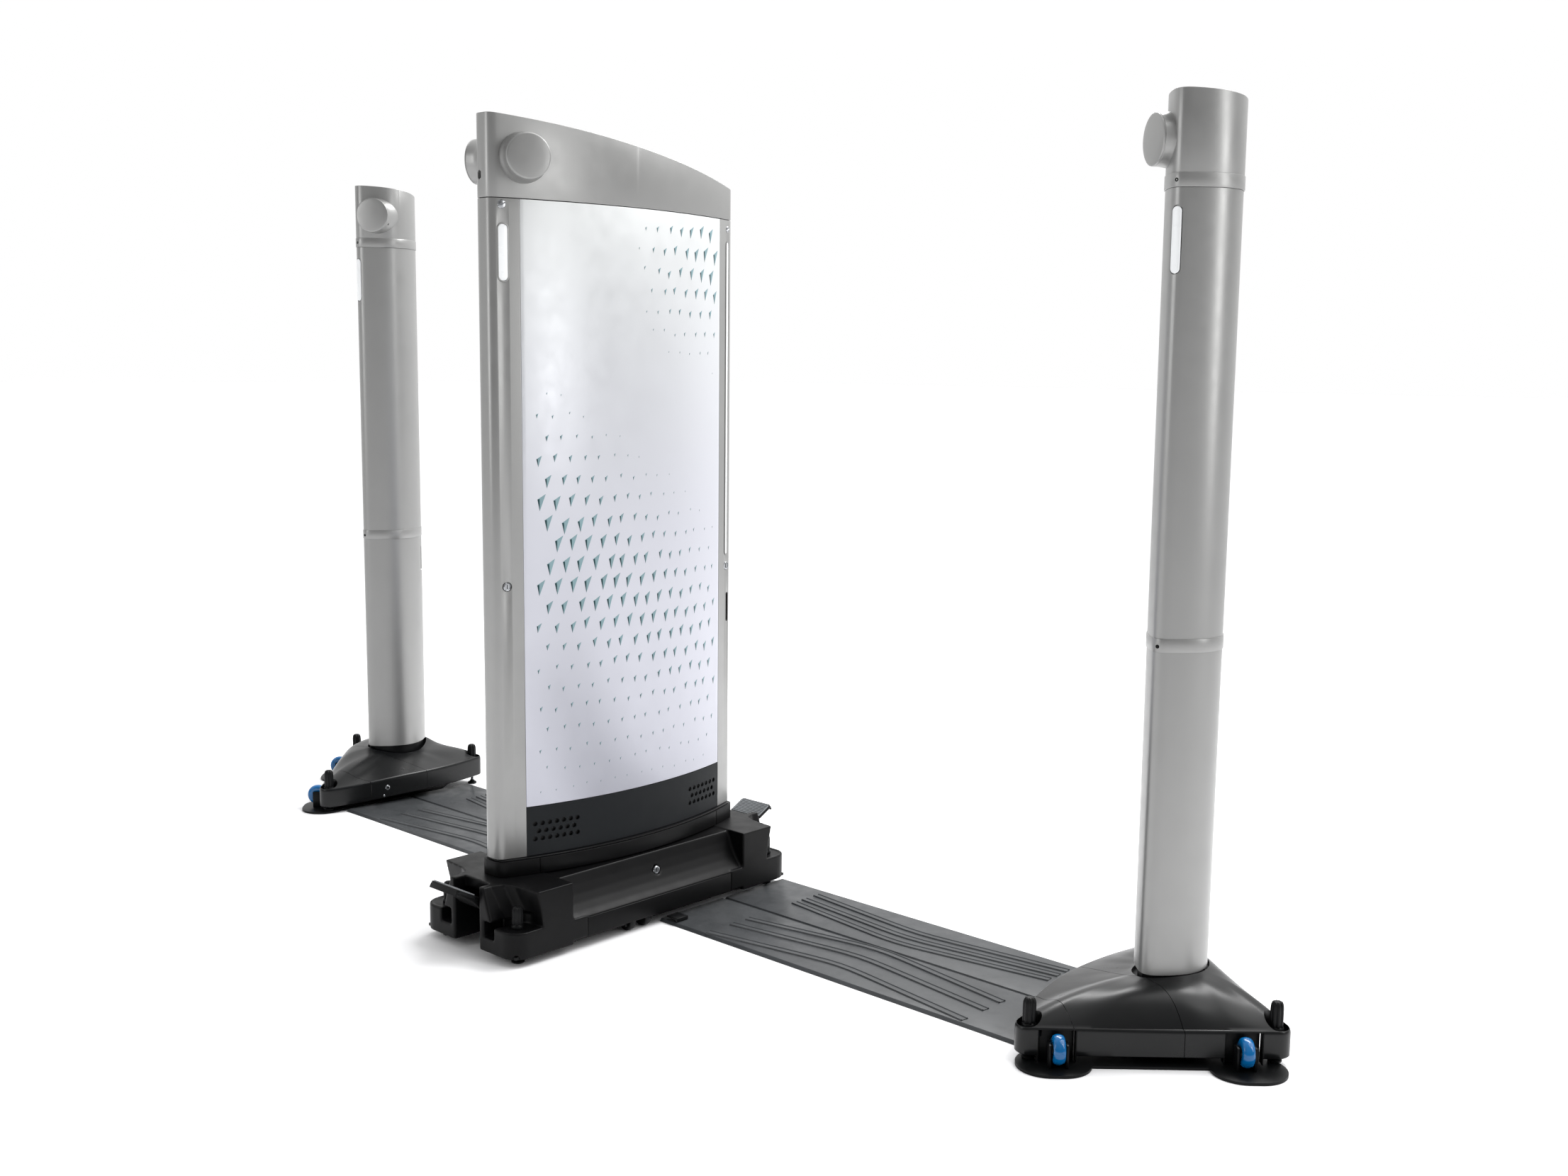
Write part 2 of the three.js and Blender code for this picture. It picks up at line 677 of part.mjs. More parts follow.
function domePieces() {
  const shell = domeShell();
  const { nose, middle } = seams;
  return {
    nose: shell.intersect(seamHalf(nose.at, nose.heading, false)),
    middle: shell
      .intersect(seamHalf(nose.at, nose.heading, true))
      .intersect(seamHalf(middle.at, middle.heading, false)),
    rear: shell.intersect(seamHalf(middle.at, middle.heading, true)),
  };
}

// The floor plate with its two lobes, wheel ears and the pedestal that carries the column.
function pylonPlate() {
  const lobes = Object.values(plate.lobes).map(([along, out]) => {
    const middle = along < 0 ? faceLine.length + along : along;
    const ends = [-plate.lobeStretch, plate.lobeStretch].map((shift) => onFace(middle + shift, out));
    return hull(
      ends.flatMap(([x, y]) => [0, plate.top].flatMap((z) => ringPoints(x, y, plate.lobeRadius, z, 20))),
    );
  });
  const [noseX, noseY] = onFace(plate.web, plate.webOut);
  const [outerX, outerY] = onFace(faceLine.length - plate.web, plate.webOut);
  const web = hull(
    [0, plate.top].flatMap((z) => [
      ...ringPoints(noseX, noseY, plate.web, z),
      ...ringPoints(outerX, outerY, plate.web, z),
      ...ringPoints(-80, 60, 80, z, 12),
    ]),
  );
  const ears = Object.values(wheelSpots).flatMap((spot) =>
    [-1, 1].map((end) => {
      const offset = end * (wheel.width / 2 + 5.5);
      const centre = [spot[0] + faceLine.along[0] * offset, spot[1] + faceLine.along[1] * offset];
      return faceBox(centre, 3, 12, 12, plate.top - 1, wheel.z + 12);
    }),
  );
  const bores = Object.values(wheelSpots).map(([x, y]) =>
    lyingBar([x, y, wheel.z], wheel.axle + RUNNING, 80, faceLine.turn, 24),
  );
  const pedestal = prism(lensShape(column, -10), plate.top - 1, column.bottom - GAP);
  const spigot = block([-24, -62, column.bottom - 4], [24, 62, 260]);
  return cut(union([...lobes, web, ...ears, pedestal, spigot]), bores);
}

function columnLower() {
  const tube = lensTube(column, column.bottom, column.collarTop, column.skin);
  const collar = lensTube(
    column,
    column.collarBottom,
    column.collarTop,
    column.skin + column.collarProud,
    column.collarProud,
  );
  return tube.add(collar);
}

// The pylon's status light is a slot in its narrow front end.
function pylonSlot(grow) {
  const { halfWidth, bottom, top } = pylonLight;
  const wide = halfWidth + grow;
  const low = [-wide, -column.halfChord - 15, bottom + halfWidth];
  const high = [wide, -column.halfChord + 14, top - halfWidth];
  const ends = [low[2], high[2]].map((z) =>
    lyingBar([0, (low[1] + high[1]) / 2, z], wide, high[1] - low[1], Math.PI / 2, 16),
  );
  return union([block(low, high), ...ends]);
}

function columnUpper() {
  const tube = lensTube(column, column.collarTop + GAP, column.top, column.skin);
  return tube.subtract(pylonSlot(GAP));
}

function pylonLightWindow() {
  const proud = lensTube(column, column.collarTop, column.top, column.skin + lens.depth, lens.proud);
  return proud.intersect(pylonSlot(0));
}

// The pylon's head: a closed cap whose roof falls a little towards the rear.
function pylonHeadBlank(grow) {
  const blank = prism(lensShape(column, column.collarProud + grow), column.top + GAP, 2100);
  const fall = THREE.MathUtils.radToDeg(Math.atan(column.headDrop / (2 * column.halfChord)));
  const sky = block([-300, -400, 0], [300, 400, 300]);
  const middle = column.headTop - column.headDrop / 2 + grow;
  return blank.subtract(sky.rotate([-fall, 0, 0]).translate([0, 0, middle]));
}

function pylonHead() {
  const hollow = prism(lensShape(column, -column.skin), 1700, column.headTop - 20);
  return pylonHeadBlank(0).subtract(hollow);
}

function wheelShape() {
  const { radius, width, axle } = wheel;
  const half = width / 2;
  const profile = [
    [0, -half - 9],
    [axle, -half - 9],
    [axle, -half],
    [radius - 9, -half],
    [radius - 2.5, -half * 0.62],
    [radius, 0],
    [radius - 2.5, half * 0.62],
    [radius - 9, half],
    [axle, half],
    [axle, half + 9],
    [0, half + 9],
  ];
  const points = profile.map(([out, along]) => new THREE.Vector2(out, along));
  return solid(new THREE.LatheGeometry(points, 16).rotateZ(-Math.PI / 2));
}

// ---------- mats ----------
// A floor mat with bevelled long edges and a cable groove along its middle.
function matShape() {
  const { near, far, thick, edge, groove, inner, outer } = mat;
  const middle = (near + far) / 2;
  const outline = new THREE.Shape();
  outline.moveTo(near, 0);
  outline.lineTo(far, 0);
  outline.lineTo(far, 2);
  outline.lineTo(far - edge, thick);
  outline.lineTo(middle + groove, thick);
  outline.lineTo(middle + groove - 2, thick - 2);
  outline.lineTo(middle - groove + 2, thick - 2);
  outline.lineTo(middle - groove, thick);
  outline.lineTo(near + edge, thick);
  outline.lineTo(near, 2);
  outline.closePath();
  const options = { depth: outer - inner, bevelEnabled: false };
  const upright = new THREE.ExtrudeGeometry(outline, options).translate(0, 0, inner);
  // The outline's x is the row's y, its y is the row's z, and it is extruded along X.
  return solid(upright.rotateX(Math.PI / 2).rotateZ(Math.PI / 2));
}

// ---------- assembly ----------
const gate = new THREE.Group();

function put(name, shape, finish, at = [0, 0, 0], parent = gate) {
  const mesh = meshOf(name, shape, finish);
  mesh.position.set(...at);
  parent.add(mesh);
  return mesh;
}

function buildTower() {
  put("tower_chassis", towerChassis(), STEEL);
  put("tower_plinth", towerPlinth(), MOULDED);
  SIDES.forEach((end) => put(`trim_${endName(end)}`, trim(end), SILVER));
  put("tower_head", towerHead(), SILVER);
  const clear = headBlank(GAP);
  for (const side of SIDES) {
    const name = sideName(side);
    put(`panel_${name}`, panel(side), PANEL);
    put(`kick_panel_${name}`, kickPanel(side), CHARCOAL);
    put(`front_light_${name}`, lightWindow(frontLight, side), WHITE);
    put(`rear_light_${name}`, lightWindow(rearLight, side), WHITE);
    const barrel = cameraOn(towerCamera.face, towerCamera.heading, towerCamera.seat, clear);
    put(`tower_camera_${name}`, mirrored(barrel, side, 1), SILVER);
  }
  for (const [name, [y, z]] of Object.entries(lockSpots)) {
    const x = halfAt(tower, y) + 1.5 - 16;
    put(`lock_${name}`, lockBarrel(16), CHROME, [x, y, z]);
  }
}

function buildBase() {
  put("base_cover", baseCover(), MOULDED);
  for (const side of SIDES) {
    put(`base_skirt_${sideName(side)}`, skirt(side), MOULDED);
    const at = [side * roller.x, (roller.y[0] + roller.y[1]) / 2, roller.radius];
    put(`roller_pair_${sideName(side)}`, rollerPair(), GRIP, at);
    for (const end of SIDES) {
      const foot = levellingFoot(centreFoot, 0, 95);
      const spot = [side * footSpot.x, end * footSpot.y, 0];
      put(`base_foot_${endName(end)}_${sideName(side)}`, foot, GRIP, spot);
    }
  }
  for (const end of SIDES) {
    const at = [0, end * pedal.y, pedal.z];
    put(`pedal_${endName(end)}`, mirrored(pedalShape(), 1, end), PEDAL, at);
  }
  put("lock_base", lockBarrel(26), CHROME, [124, 16, 132]);
}

function buildPylon(side) {
  const name = `pylon_${sideName(side)}`;
  const group = new THREE.Group();
  group.position.set(side * pylonAt.x, pylonAt.y, 0);
  group.scale.x = side;
  gate.add(group);
  const add = (part, shape, finish, at) => put(`${name}_${part}`, shape, finish, at, group);

  add("plate", pylonPlate(), STEEL);
  Object.entries(domePieces()).forEach(([part, shape]) => add(`cover_${part}`, shape, GLOSSY));
  add("column_lower", columnLower(), SILVER);
  add("column_upper", columnUpper(), SILVER);
  add("light", pylonLightWindow(), WHITE);
  add("head", pylonHead(), SILVER);
  const clear = union([pylonHeadBlank(GAP), prism(lensShape(column, GAP), 1500, column.top + 2)]);
  add("camera", cameraOn(pylonCamera.face, pylonCamera.heading, pylonCamera.seat, clear), SILVER);

  for (const [part, [x, y]] of Object.entries(corner)) {
    const onPlate = part !== "rear";
    const bottom = onPlate ? plate.top + GAP : 0;
    add(`foot_${part}`, levellingFoot(pylonFoot, bottom, 94), GRIP, [x, y, 0]);
  }
  for (const [part, [x, y]] of Object.entries(wheelSpots)) {
    const rolling = add(`wheel_${part}`, wheelShape(), BLUE, [x, y, wheel.z]);
    rolling.rotation.z = faceLine.turn;
  }
}

function buildMats() {
  const shape = matShape();
  put("mat_right", shape, RUBBER);
  put("mat_left", shape.mirror([1, 0, 0]), RUBBER);
}

buildTower();
buildBase();
SIDES.forEach(buildPylon);
buildMats();

export default gate;
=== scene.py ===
"""The looks of a free-standing walk-through security gate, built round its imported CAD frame.

Metres, in the gate's own frame: X across the lanes, +Y the way people walk, +Z up, with the
origin on the floor under the middle of the centre tower.
"""

import math

import bmesh
import bpy
from mathutils import Matrix, Vector, noise
from mathutils.bvhtree import BVHTree


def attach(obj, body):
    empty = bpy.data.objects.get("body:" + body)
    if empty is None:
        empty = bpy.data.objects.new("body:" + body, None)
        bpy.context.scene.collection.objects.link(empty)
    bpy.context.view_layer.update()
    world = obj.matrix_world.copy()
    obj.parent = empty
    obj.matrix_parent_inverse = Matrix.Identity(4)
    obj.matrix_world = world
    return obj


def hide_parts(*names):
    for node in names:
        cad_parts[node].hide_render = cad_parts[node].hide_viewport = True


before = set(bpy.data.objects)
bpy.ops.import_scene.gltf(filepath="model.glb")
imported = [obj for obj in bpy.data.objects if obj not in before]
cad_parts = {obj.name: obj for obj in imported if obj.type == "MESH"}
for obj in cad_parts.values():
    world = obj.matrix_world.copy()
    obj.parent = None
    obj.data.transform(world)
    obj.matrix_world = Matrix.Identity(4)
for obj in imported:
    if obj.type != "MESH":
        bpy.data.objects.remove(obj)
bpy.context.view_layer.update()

MM = 0.001
ROOT = "gate_frame"
SIDES = (("right", 1), ("left", -1))
ENDS = (("rear", 1), ("front", -1))


class Section:
    """A lens-shaped section, in metres: two bowed sides and two flat ends with round corners."""

    def __init__(self, chord, middle, end, corner):
        self.chord = chord * MM
        self.middle = middle * MM
        self.end = end * MM
        self.corner = corner * MM

    def half(self, y):
        return self.middle - (self.middle - self.end) * (y / self.chord) ** 2

    def slope(self, y):
        return -2 * (self.middle - self.end) * y / self.chord**2

    def normal(self, y, side=1):
        """The direction that one broad side faces at y."""
        return Vector((side, -self.slope(y), 0)).normalized()


TOWER = Section(407, 102, 28, 20)
PLINTH = Section(411, 118, 38, 24)
COLUMN = Section(108, 77, 11, 10)

TOWER_BOTTOM, TOWER_TOP, KICK_TOP = 0.225, 1.843, 0.351
PANEL_HALF, SKIN = 0.336, 0.004
JOINT = 0.0008
HEAD_BOTTOM, HEAD_FRONT, HEAD_REAR, HEAD_BULGE = 1.845, 2.041, 1.924, 0.012
FRONT_LIGHT = {"y": -0.377, "half": 0.013, "low": 1.648, "high": 1.785}
REAR_LIGHT = {"y": 0.377, "half": 0.007, "low": 0.934, "high": 1.786}
LOCKS = {"front": (-0.377, 0.912), "rear": (0.377, 0.902)}
TRIM_SCREWS = {"front": (1.829, 0.0105), "rear": (1.819, 0.008)}
WEDGE_SEED = 7
SIGHT_X, SIGHT_Z = -0.011, 1.898

PLINTH_BOTTOM, PLINTH_TOP, LIP_TOP, PLINTH_SEAM_Y = 0.1804, 0.2195, 0.2235, 0.311
BASE_FOOT_X, BASE_FOOT_Y = 0.142, 0.438
ROLLER_X, ROLLER_YS, ROLLER_RADIUS, ROLLER_HALF = 0.158, (-0.096, -0.043), 0.025, 0.010
PEDAL_HUB_Y, PEDAL_HUB_Z, PEDAL_REACH, PEDAL_RISE, PEDAL_TILT = 0.430, 0.112, 0.0954, 0.056, 28

NEAR, FAR, MAT_INNER, MAT_OUTER, MAT_THICK = 0.006, 0.484, 0.172, 1.330, 0.008
MAT_GROOVE, MAT_EDGE = 0.005, 0.006
RIB_HALF, RIB_RISE = 0.012, 0.0034
RIB_X = (0.340, 0.733, 1.155)
NEAR_RIBS = ((0.021, 0.088, 0.026), (0.107, 0.164, 0.106), (0.165, 0.235, 0.170))
FAR_RIBS = ((0.348, 0.299, 0.363), (0.388, 0.346, 0.402), (0.436, 0.392, 0.441))

PYLON_AT = Vector((1.5, 0.316, 0))
COLLAR = (0.866, 0.895)
COLUMN_BOTTOM, COLUMN_TOP, PYLON_TOP, PYLON_DROP = 0.1464, 1.823, 2.020, 0.022
PYLON_LIGHT = (0.011, 1.650, 1.787)
PYLON_POD, PYLON_POD_HEADING = (-0.068, -0.098, 1.924), -126
CORNERS = {"nose": (-0.132, -0.350), "outer": (0.255, 0.0), "rear": (-0.155, 0.198)}
RIM_RADIUS, FACE_BULGE, OUTER_BULGE, LANE_BULGE = 0.030, 0.002, 0.006, 0.044
RIM_TOP, RIM_TOP_RISE, RIM_FOOT, RIM_FOOT_RISE, RISE_WIDTH = 0.080, 0.015, 0.022, 0.011, 0.240
RING_GAP, RING_LEVEL, RING_OUTER_RISE, RING_LANE_DIP = 0.005, 0.153, 0.006, 0.022
CREASE, CREASE_SHARE, CREASE_LIFT = 0.011, 0.55, 0.003
# How full the dome's skin is, by direction in degrees round the column from +X.
FULLNESS = (
    (-180, 1.15), (-150, 1.15), (-125, 1.3), (-108, 2.4), (-85, 3.3), (-55, 3.3), (-25, 2.3), (0, 1.6),
    (60, 1.6), (110, 2.4), (135, 2.4), (160, 1.5), (180, 1.15),
)
NOSE_SEAM = ((-0.100, -0.283), -27)
MIDDLE_SEAM = ((0.0, -0.110), -20)
SEAM_GAP, DOME_THICK = 0.0006, 0.003
WELL = {"radius": 0.0265, "wall": 0.0024, "floor": 0.060, "base": 0.0025, "hole": 0.0152}
WHEEL_RADIUS, WHEEL_HALF, WHEEL_Z, TYRE_ROUND = 0.0315, 0.013, 0.044, 0.009

CAMERA_AT, CAMERA_TURN, CAMERA_LENS = (3.2376, -2.8142, 1.4601), (43.002, 7.809, 0.585), 37.53


# ---------- scene and camera ----------
def linked(name, data):
    """A new object in the scene."""
    made = bpy.data.objects.new(name, data)
    bpy.context.scene.collection.objects.link(made)
    return made


def make_camera():
    """CAMERA_TURN is the yaw to the left, the pitch down and the roll."""
    yaw, pitch, roll = (math.radians(angle) for angle in CAMERA_TURN)
    forward = Vector(
        (-math.sin(yaw) * math.cos(pitch), math.cos(yaw) * math.cos(pitch), -math.sin(pitch))
    )
    right = forward.cross(Vector((0, 0, 1))).normalized()
    up = right.cross(forward)
    right_rolled = math.cos(roll) * right + math.sin(roll) * up
    up_rolled = math.cos(roll) * up - math.sin(roll) * right
    turn = Matrix((right_rolled, up_rolled, -forward)).transposed()
    data = bpy.data.cameras.new("camera")
    data.sensor_width = 36.0
    data.lens = CAMERA_LENS
    data.clip_end = 200
    camera = linked("camera", data)
    camera.matrix_world = Matrix.Translation(CAMERA_AT) @ turn.to_4x4()
    bpy.context.scene.camera = camera


# ---------- materials ----------
# Colour as 0-255 levels, roughness, metal, grain's strength, grains a metre, how much the
# colour varies, how much the roughness varies, and the specular level.
FINISHES = {
    "silver_paint": ((150, 150, 149), 0.36, 0.65, 0.05, 1500, 0.02, 0.03, 0.5),
    "charcoal": ((32, 34, 36), 0.5, 0.0, 0.12, 900, 0.05, 0.04, 0.1),
    "moulded_black": ((9, 9, 10), 0.4, 0.0, 0.14, 1100, 0.12, 0.05, 0.13),
    "gloss_black": ((13, 14, 15), 0.3, 0.0, 0.05, 1300, 0.08, 0.03, 0.3),
    "black_steel": ((12, 13, 14), 0.4, 0.0, 0.1, 700, 0.1, 0.06, 0.15),
    "black_grip": ((14, 15, 16), 0.4, 0.0, 0.1, 900, 0.1, 0.06, 0.15),
    "wheel_blue": ((0, 92, 150), 0.12, 0.0, 0.02, 500, 0.1, 0.03, 0.5),
    "mat_rubber": ((62, 64, 66), 0.4, 0.0, 0.16, 600, 0.16, 0.1, 0.3),
    "bright_metal": ((168, 170, 173), 0.2, 1.0, 0.03, 900, 0.04, 0.06, 0.5),
    "light_window": ((240, 242, 243), 0.28, 0.0, 0.02, 700, 0.01, 0.03, 0.5),
    "grey_tread": ((122, 125, 128), 0.5, 0.0, 0.15, 800, 0.06, 0.06, 0.5),
    # Painted shade: a near-black laid in holes, recesses and slots where only shade falls.
    "painted_hole_shade": ((6, 6, 7), 0.6, 0.0, 0.05, 600, 0.1, 0.05, 0.5),
    "wedge_dark": ((34, 62, 66), 0.45, 0.0, 0.02, 900, 0.12, 0.03, 0.2),
    "wedge_pale": ((126, 152, 158), 0.45, 0.0, 0.02, 900, 0.1, 0.03, 0.2),
    "lens_dark": ((12, 13, 15), 0.12, 0.0, 0.02, 900, 0.1, 0.03, 0.5),
    "floor_white": ((246, 246, 247), 0.8, 0.0, 0.0, 1, 0.004, 0.05, 0.5),
}
# The panels' film, by share of their height: pale lilac at the bottom to a warmer white.
PANEL_TONES = ((0.0, (192, 193, 203)), (1.0, (205, 207, 207)), (0.45, (198, 199, 207)))


def colour(levels):
    """0-255 levels as linear light."""
    shares = [level / 255 for level in levels]
    return [s / 12.92 if s <= 0.04045 else ((s + 0.055) / 1.055) ** 2.4 for s in shares] + [1]


def node(tree, kind, feeds=(), **values):
    """A new shader node: feeds are (input, source) pairs, and in values _ stands for a space."""
    made = tree.nodes.new("ShaderNode" + kind)
    for socket, value in values.items():
        made.inputs[socket.replace("_", " ")].default_value = value
    for socket, source in feeds:
        tree.links.new(source, made.inputs[socket])
    return made


def noise_of(tree, where, scale, detail):
    return node(tree, "TexNoise", [("Vector", where)], Scale=scale, Detail=detail).outputs["Fac"]


def mapped(tree, source, low, high, to_low, to_high, kind="LINEAR"):
    """The source's range from low to high turned into another."""
    made = node(
        tree, "MapRange", [("Value", source)], From_Min=low, From_Max=high, To_Min=to_low, To_Max=to_high
    )
    made.interpolation_type = kind
    return made.outputs["Result"]


def ramp_of(tree, source, tones):
    """A colour ramp through (position, colour) tones, whose first two are its ends."""
    made = node(tree, "ValToRGB", [("Fac", source)])
    elements = made.color_ramp.elements
    for element, (position, tone) in zip(elements[:], tones):
        element.position = position
        element.color = tone
    for position, tone in tones[2:]:
        elements.new(position).color = tone
    return made.outputs["Color"]


def material(name, rough, metal, grain, grain_scale, smear, specular):
    """A principled material whose roughness and surface vary a little. Its colour comes after."""
    made = bpy.data.materials.new(name)
    made.use_nodes = True
    tree = made.node_tree
    shader = tree.nodes["Principled BSDF"]
    shader.inputs["Metallic"].default_value = metal
    shader.inputs["Specular IOR Level"].default_value = specular
    where = node(tree, "TexCoord").outputs["Object"]
    streaks = noise_of(tree, where, 23.0, 6.0)
    roughness = mapped(tree, streaks, 0.3, 0.7, max(0.0, rough - smear), min(1.0, rough + smear))
    tree.links.new(roughness, shader.inputs["Roughness"])
    if grain:
        fine = noise_of(tree, where, grain_scale, 3.0)
        bump = node(tree, "Bump", [("Height", fine)], Strength=grain, Distance=0.0006)
        tree.links.new(bump.outputs["Normal"], shader.inputs["Normal"])
    return made, tree, shader.inputs["Base Color"], where


def painted(name, levels, rough, metal, grain, grain_scale, mottle, smear, specular):
    """A material of one colour, a little cloudy."""
    made, tree, paint, where = material(name, rough, metal, grain, grain_scale, smear, specular)
    tint = colour(levels)[:3]
    tones = []
    for position, share in ((0.3, 1 - mottle), (0.7, 1 + mottle)):
        tones.append((position, [min(1, part * share) for part in tint] + [1]))
    tree.links.new(ramp_of(tree, noise_of(tree, where, 7.0, 5.0), tones), paint)
    return made


def panel_material():
    """Satin white film whose tone drifts with height."""
    made, tree, paint, where = material("panel_white", 0.34, 0.25, 0.03, 900, 0.05, 0.5)
    split = node(tree, "SeparateXYZ", [("Vector", where)])
    height = mapped(tree, split.outputs["Z"], KICK_TOP, TOWER_TOP, 0.0, 1.0)
    tones = [(position, colour(levels)) for position, levels in PANEL_TONES]
    tree.links.new(ramp_of(tree, height, tones), paint)
    return made


MATERIALS = {name: painted(name, *finish) for name, finish in FINISHES.items()}
MATERIALS["panel_white"] = panel_material()


# ---------- meshes ----------
def object_of(name, bm, turn_out=True):
    """A new object from a bmesh, with its faces turned outwards."""
    if turn_out:
        bmesh.ops.recalc_face_normals(bm, faces=bm.faces)
    mesh = bpy.data.meshes.new(name)
    bm.to_mesh(mesh)
    bm.free()
    return linked(name, mesh)


def applied(piece):
    """The piece with its modifiers worked into its mesh."""
    bpy.context.view_layer.update()
    graph = bpy.context.evaluated_depsgraph_get()
    mesh = bpy.data.meshes.new_from_object(piece.evaluated_get(graph))
    piece.modifiers.clear()
    piece.data = mesh
    return piece


def combined(piece, tool, operation="DIFFERENCE"):
    """Cuts the piece with the tool, adds the tool to it or keeps what they share. The tool goes."""
    step = piece.modifiers.new("combine", "BOOLEAN")
    step.operation = operation
    step.solver = "EXACT"
    step.object = tool
    applied(piece)
    bpy.data.objects.remove(tool)
    return piece


def softened(piece, width, segments=2, angle=32.0):
    """Rounds the piece's edges."""
    step = piece.modifiers.new("soften", "BEVEL")
    step.width = width
    step.segments = segments
    step.limit_method = "ANGLE"
    step.angle_limit = math.radians(angle)
    return applied(piece)


def dressed(piece, slot, body=ROOT, replaces=(), finish=None, angle=34.0):
    """Shades a piece, gives it its material and body, and hides the CAD nodes it stands for."""
    piece.data.shade_smooth()
    piece.data.set_sharp_from_angle(angle=math.radians(angle))
    piece.data.materials.clear()
    piece.data.materials.append(MATERIALS[finish or slot])
    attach(piece, body)
    if replaces:
        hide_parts(*replaces)
    return piece


AXES = {"X": (2, 0, 1), "Y": (0, 2, 1), "Z": (0, 1, 2)}


def extruded(name, loop, low, high, axis="Z"):
    """A closed outline stretched along an axis. On X the outline is (y, z), on Y (x, z), on Z (x, y)."""

    def place(point, along):
        values = (point[0], point[1], along)
        return tuple(values[index] for index in AXES[axis])

    bm = bmesh.new()
    bottom = [bm.verts.new(place(point, low)) for point in loop]
    top = [bm.verts.new(place(point, high)) for point in loop]
    bm.faces.new(bottom)
    bm.faces.new(top)
    count = len(loop)
    for index in range(count):
        after = (index + 1) % count
        bm.faces.new((bottom[index], bottom[after], top[after], top[index]))
    return object_of(name, bm)


def turned(name, profile, segments=48, matrix=Matrix.Identity(4), flutes=0, depth=0.0):
    """A turned shape about +Z from (radius, height) pairs that start and end on the axis.

    flutes is the number of grooves round it, and depth how deep they go at full radius.
    """
    bm = bmesh.new()
    rings = []
    for radius, height in profile:
        if radius < 1e-6:
            rings.append([bm.verts.new((0, 0, height))])
            continue
        ring = []
        for step in range(segments):
            turn = 2 * math.pi * step / segments
            groove = depth * (0.5 - 0.5 * math.cos(flutes * turn)) ** 2 if flutes else 0
            out = radius - groove
            ring.append(bm.verts.new((out * math.cos(turn), out * math.sin(turn), height)))
        rings.append(ring)
    for inner, outer in zip(rings, rings[1:]):
        for step in range(segments):
            after = (step + 1) % segments
            corners = [inner[step % len(inner)], inner[after % len(inner)]]
            corners += [outer[after % len(outer)], outer[step % len(outer)]]
            unique = list(dict.fromkeys(corners))
            if len(unique) > 2:
                bm.faces.new(unique)
    bm.transform(matrix)
    return object_of(name, bm)


def doubled(profile):
    """Half of a turned shape's profile followed by its mirror image."""
    return profile + [(radius, -height) for radius, height in reversed(profile)]


def facing(at, direction):
    """A matrix that takes +Z to a direction, at a place."""
    return Matrix.Translation(at) @ Vector(direction).to_track_quat("Z", "Y").to_matrix().to_4x4()


def joined(name, pieces):
    """One object from several, with their materials kept."""
    bm = bmesh.new()
    mesh = bpy.data.meshes.new(name)
    for piece in pieces:
        slot_at = len(mesh.materials)
        for used in piece.data.materials:
            mesh.materials.append(used)
        start = len(bm.faces)
        bm.from_mesh(piece.data)
        bm.faces.ensure_lookup_table()
        for face in bm.faces[start:]:
            face.material_index += slot_at
    for piece in pieces:
        bpy.data.objects.remove(piece)
    bm.to_mesh(mesh)
    bm.free()
    return linked(name, mesh)


def flipped(piece, axis):
    """The piece's mirror image along an axis."""
    piece.data.transform(Matrix.Scale(-1, 4, axis))
    piece.data.flip_normals()
    return piece


def mirrored(piece, side):
    """Turns a piece made for the right side into the left's."""
    return piece if side > 0 else flipped(piece, (1, 0, 0))


def roofed(piece, cuts, above, roof):
    """Cuts a block across at each y, and lays its points above a level on a roof."""
    bm = bmesh.new()
    bm.from_mesh(piece.data)
    for y in cuts:
        everything = bm.verts[:] + bm.edges[:] + bm.faces[:]
        bmesh.ops.bisect_plane(bm, geom=everything, plane_co=(0, y, 0), plane_no=(0, 1, 0))
    for vertex in bm.verts:
        if vertex.co.z > above:
            vertex.co.z = roof(vertex.co.y)
    bm.to_mesh(piece.data)
    bm.free()


def spread(low, high, steps):
    return [low + (high - low) * step / steps for step in range(steps + 1)]


def curve_points(start, middle, end, steps=6):
    """Points along a quadratic curve."""
    points = []
    for share in spread(0, 1, steps):
        weights = ((1 - share) ** 2, 2 * share * (1 - share), share**2)
        points.append(
            tuple(sum(w * p[axis] for w, p in zip(weights, (start, middle, end))) for axis in (0, 1))
        )
    return points


def end_path(section, grow, cut, steps=40):
    """The section's outline from its right side at y = cut, round the +Y end, to its left side."""
    start = section.chord - section.corner
    end = section.chord + grow
    edge = section.half(start) + grow
    meeting = edge + section.slope(start) * (end - start)
    flat = max(0.0015, meeting - section.corner)
    side = [(section.half(y) + grow, y) for y in spread(cut, start, steps)]
    half = side[:-1] + curve_points((edge, start), (meeting, end), (flat, end), 10)
    return half + [(-x, y) for x, y in reversed(half)]


def lens_loop(section, grow=0.0):
    """The whole outline, anticlockwise from the middle of the right side."""
    upper = end_path(section, grow, 0.0)
    return upper[:-1] + [(-x, -y) for x, y in upper[:-1]]


def stadium(half, low, high, steps=12):
    """A slot's outline about 0, from its lowest to its highest point."""
    turns = [math.pi * step / steps for step in range(steps + 1)]
    top = [(half * math.cos(turn), high - half + half * math.sin(turn)) for turn in turns]
    bottom = [(-half * math.cos(turn), low + half - half * math.sin(turn)) for turn in turns]
    return top + bottom


def rectangle(left, right, low, high):
    return [(left, low), (right, low), (right, high), (left, high)]


def shifted(loop, along, up=0.0):
    return [(a + along, b + up) for a, b in loop]


def circle(radius, steps=24):
    turns = [2 * math.pi * step / steps for step in range(steps)]
    return [(radius * math.cos(turn), radius * math.sin(turn)) for turn in turns]


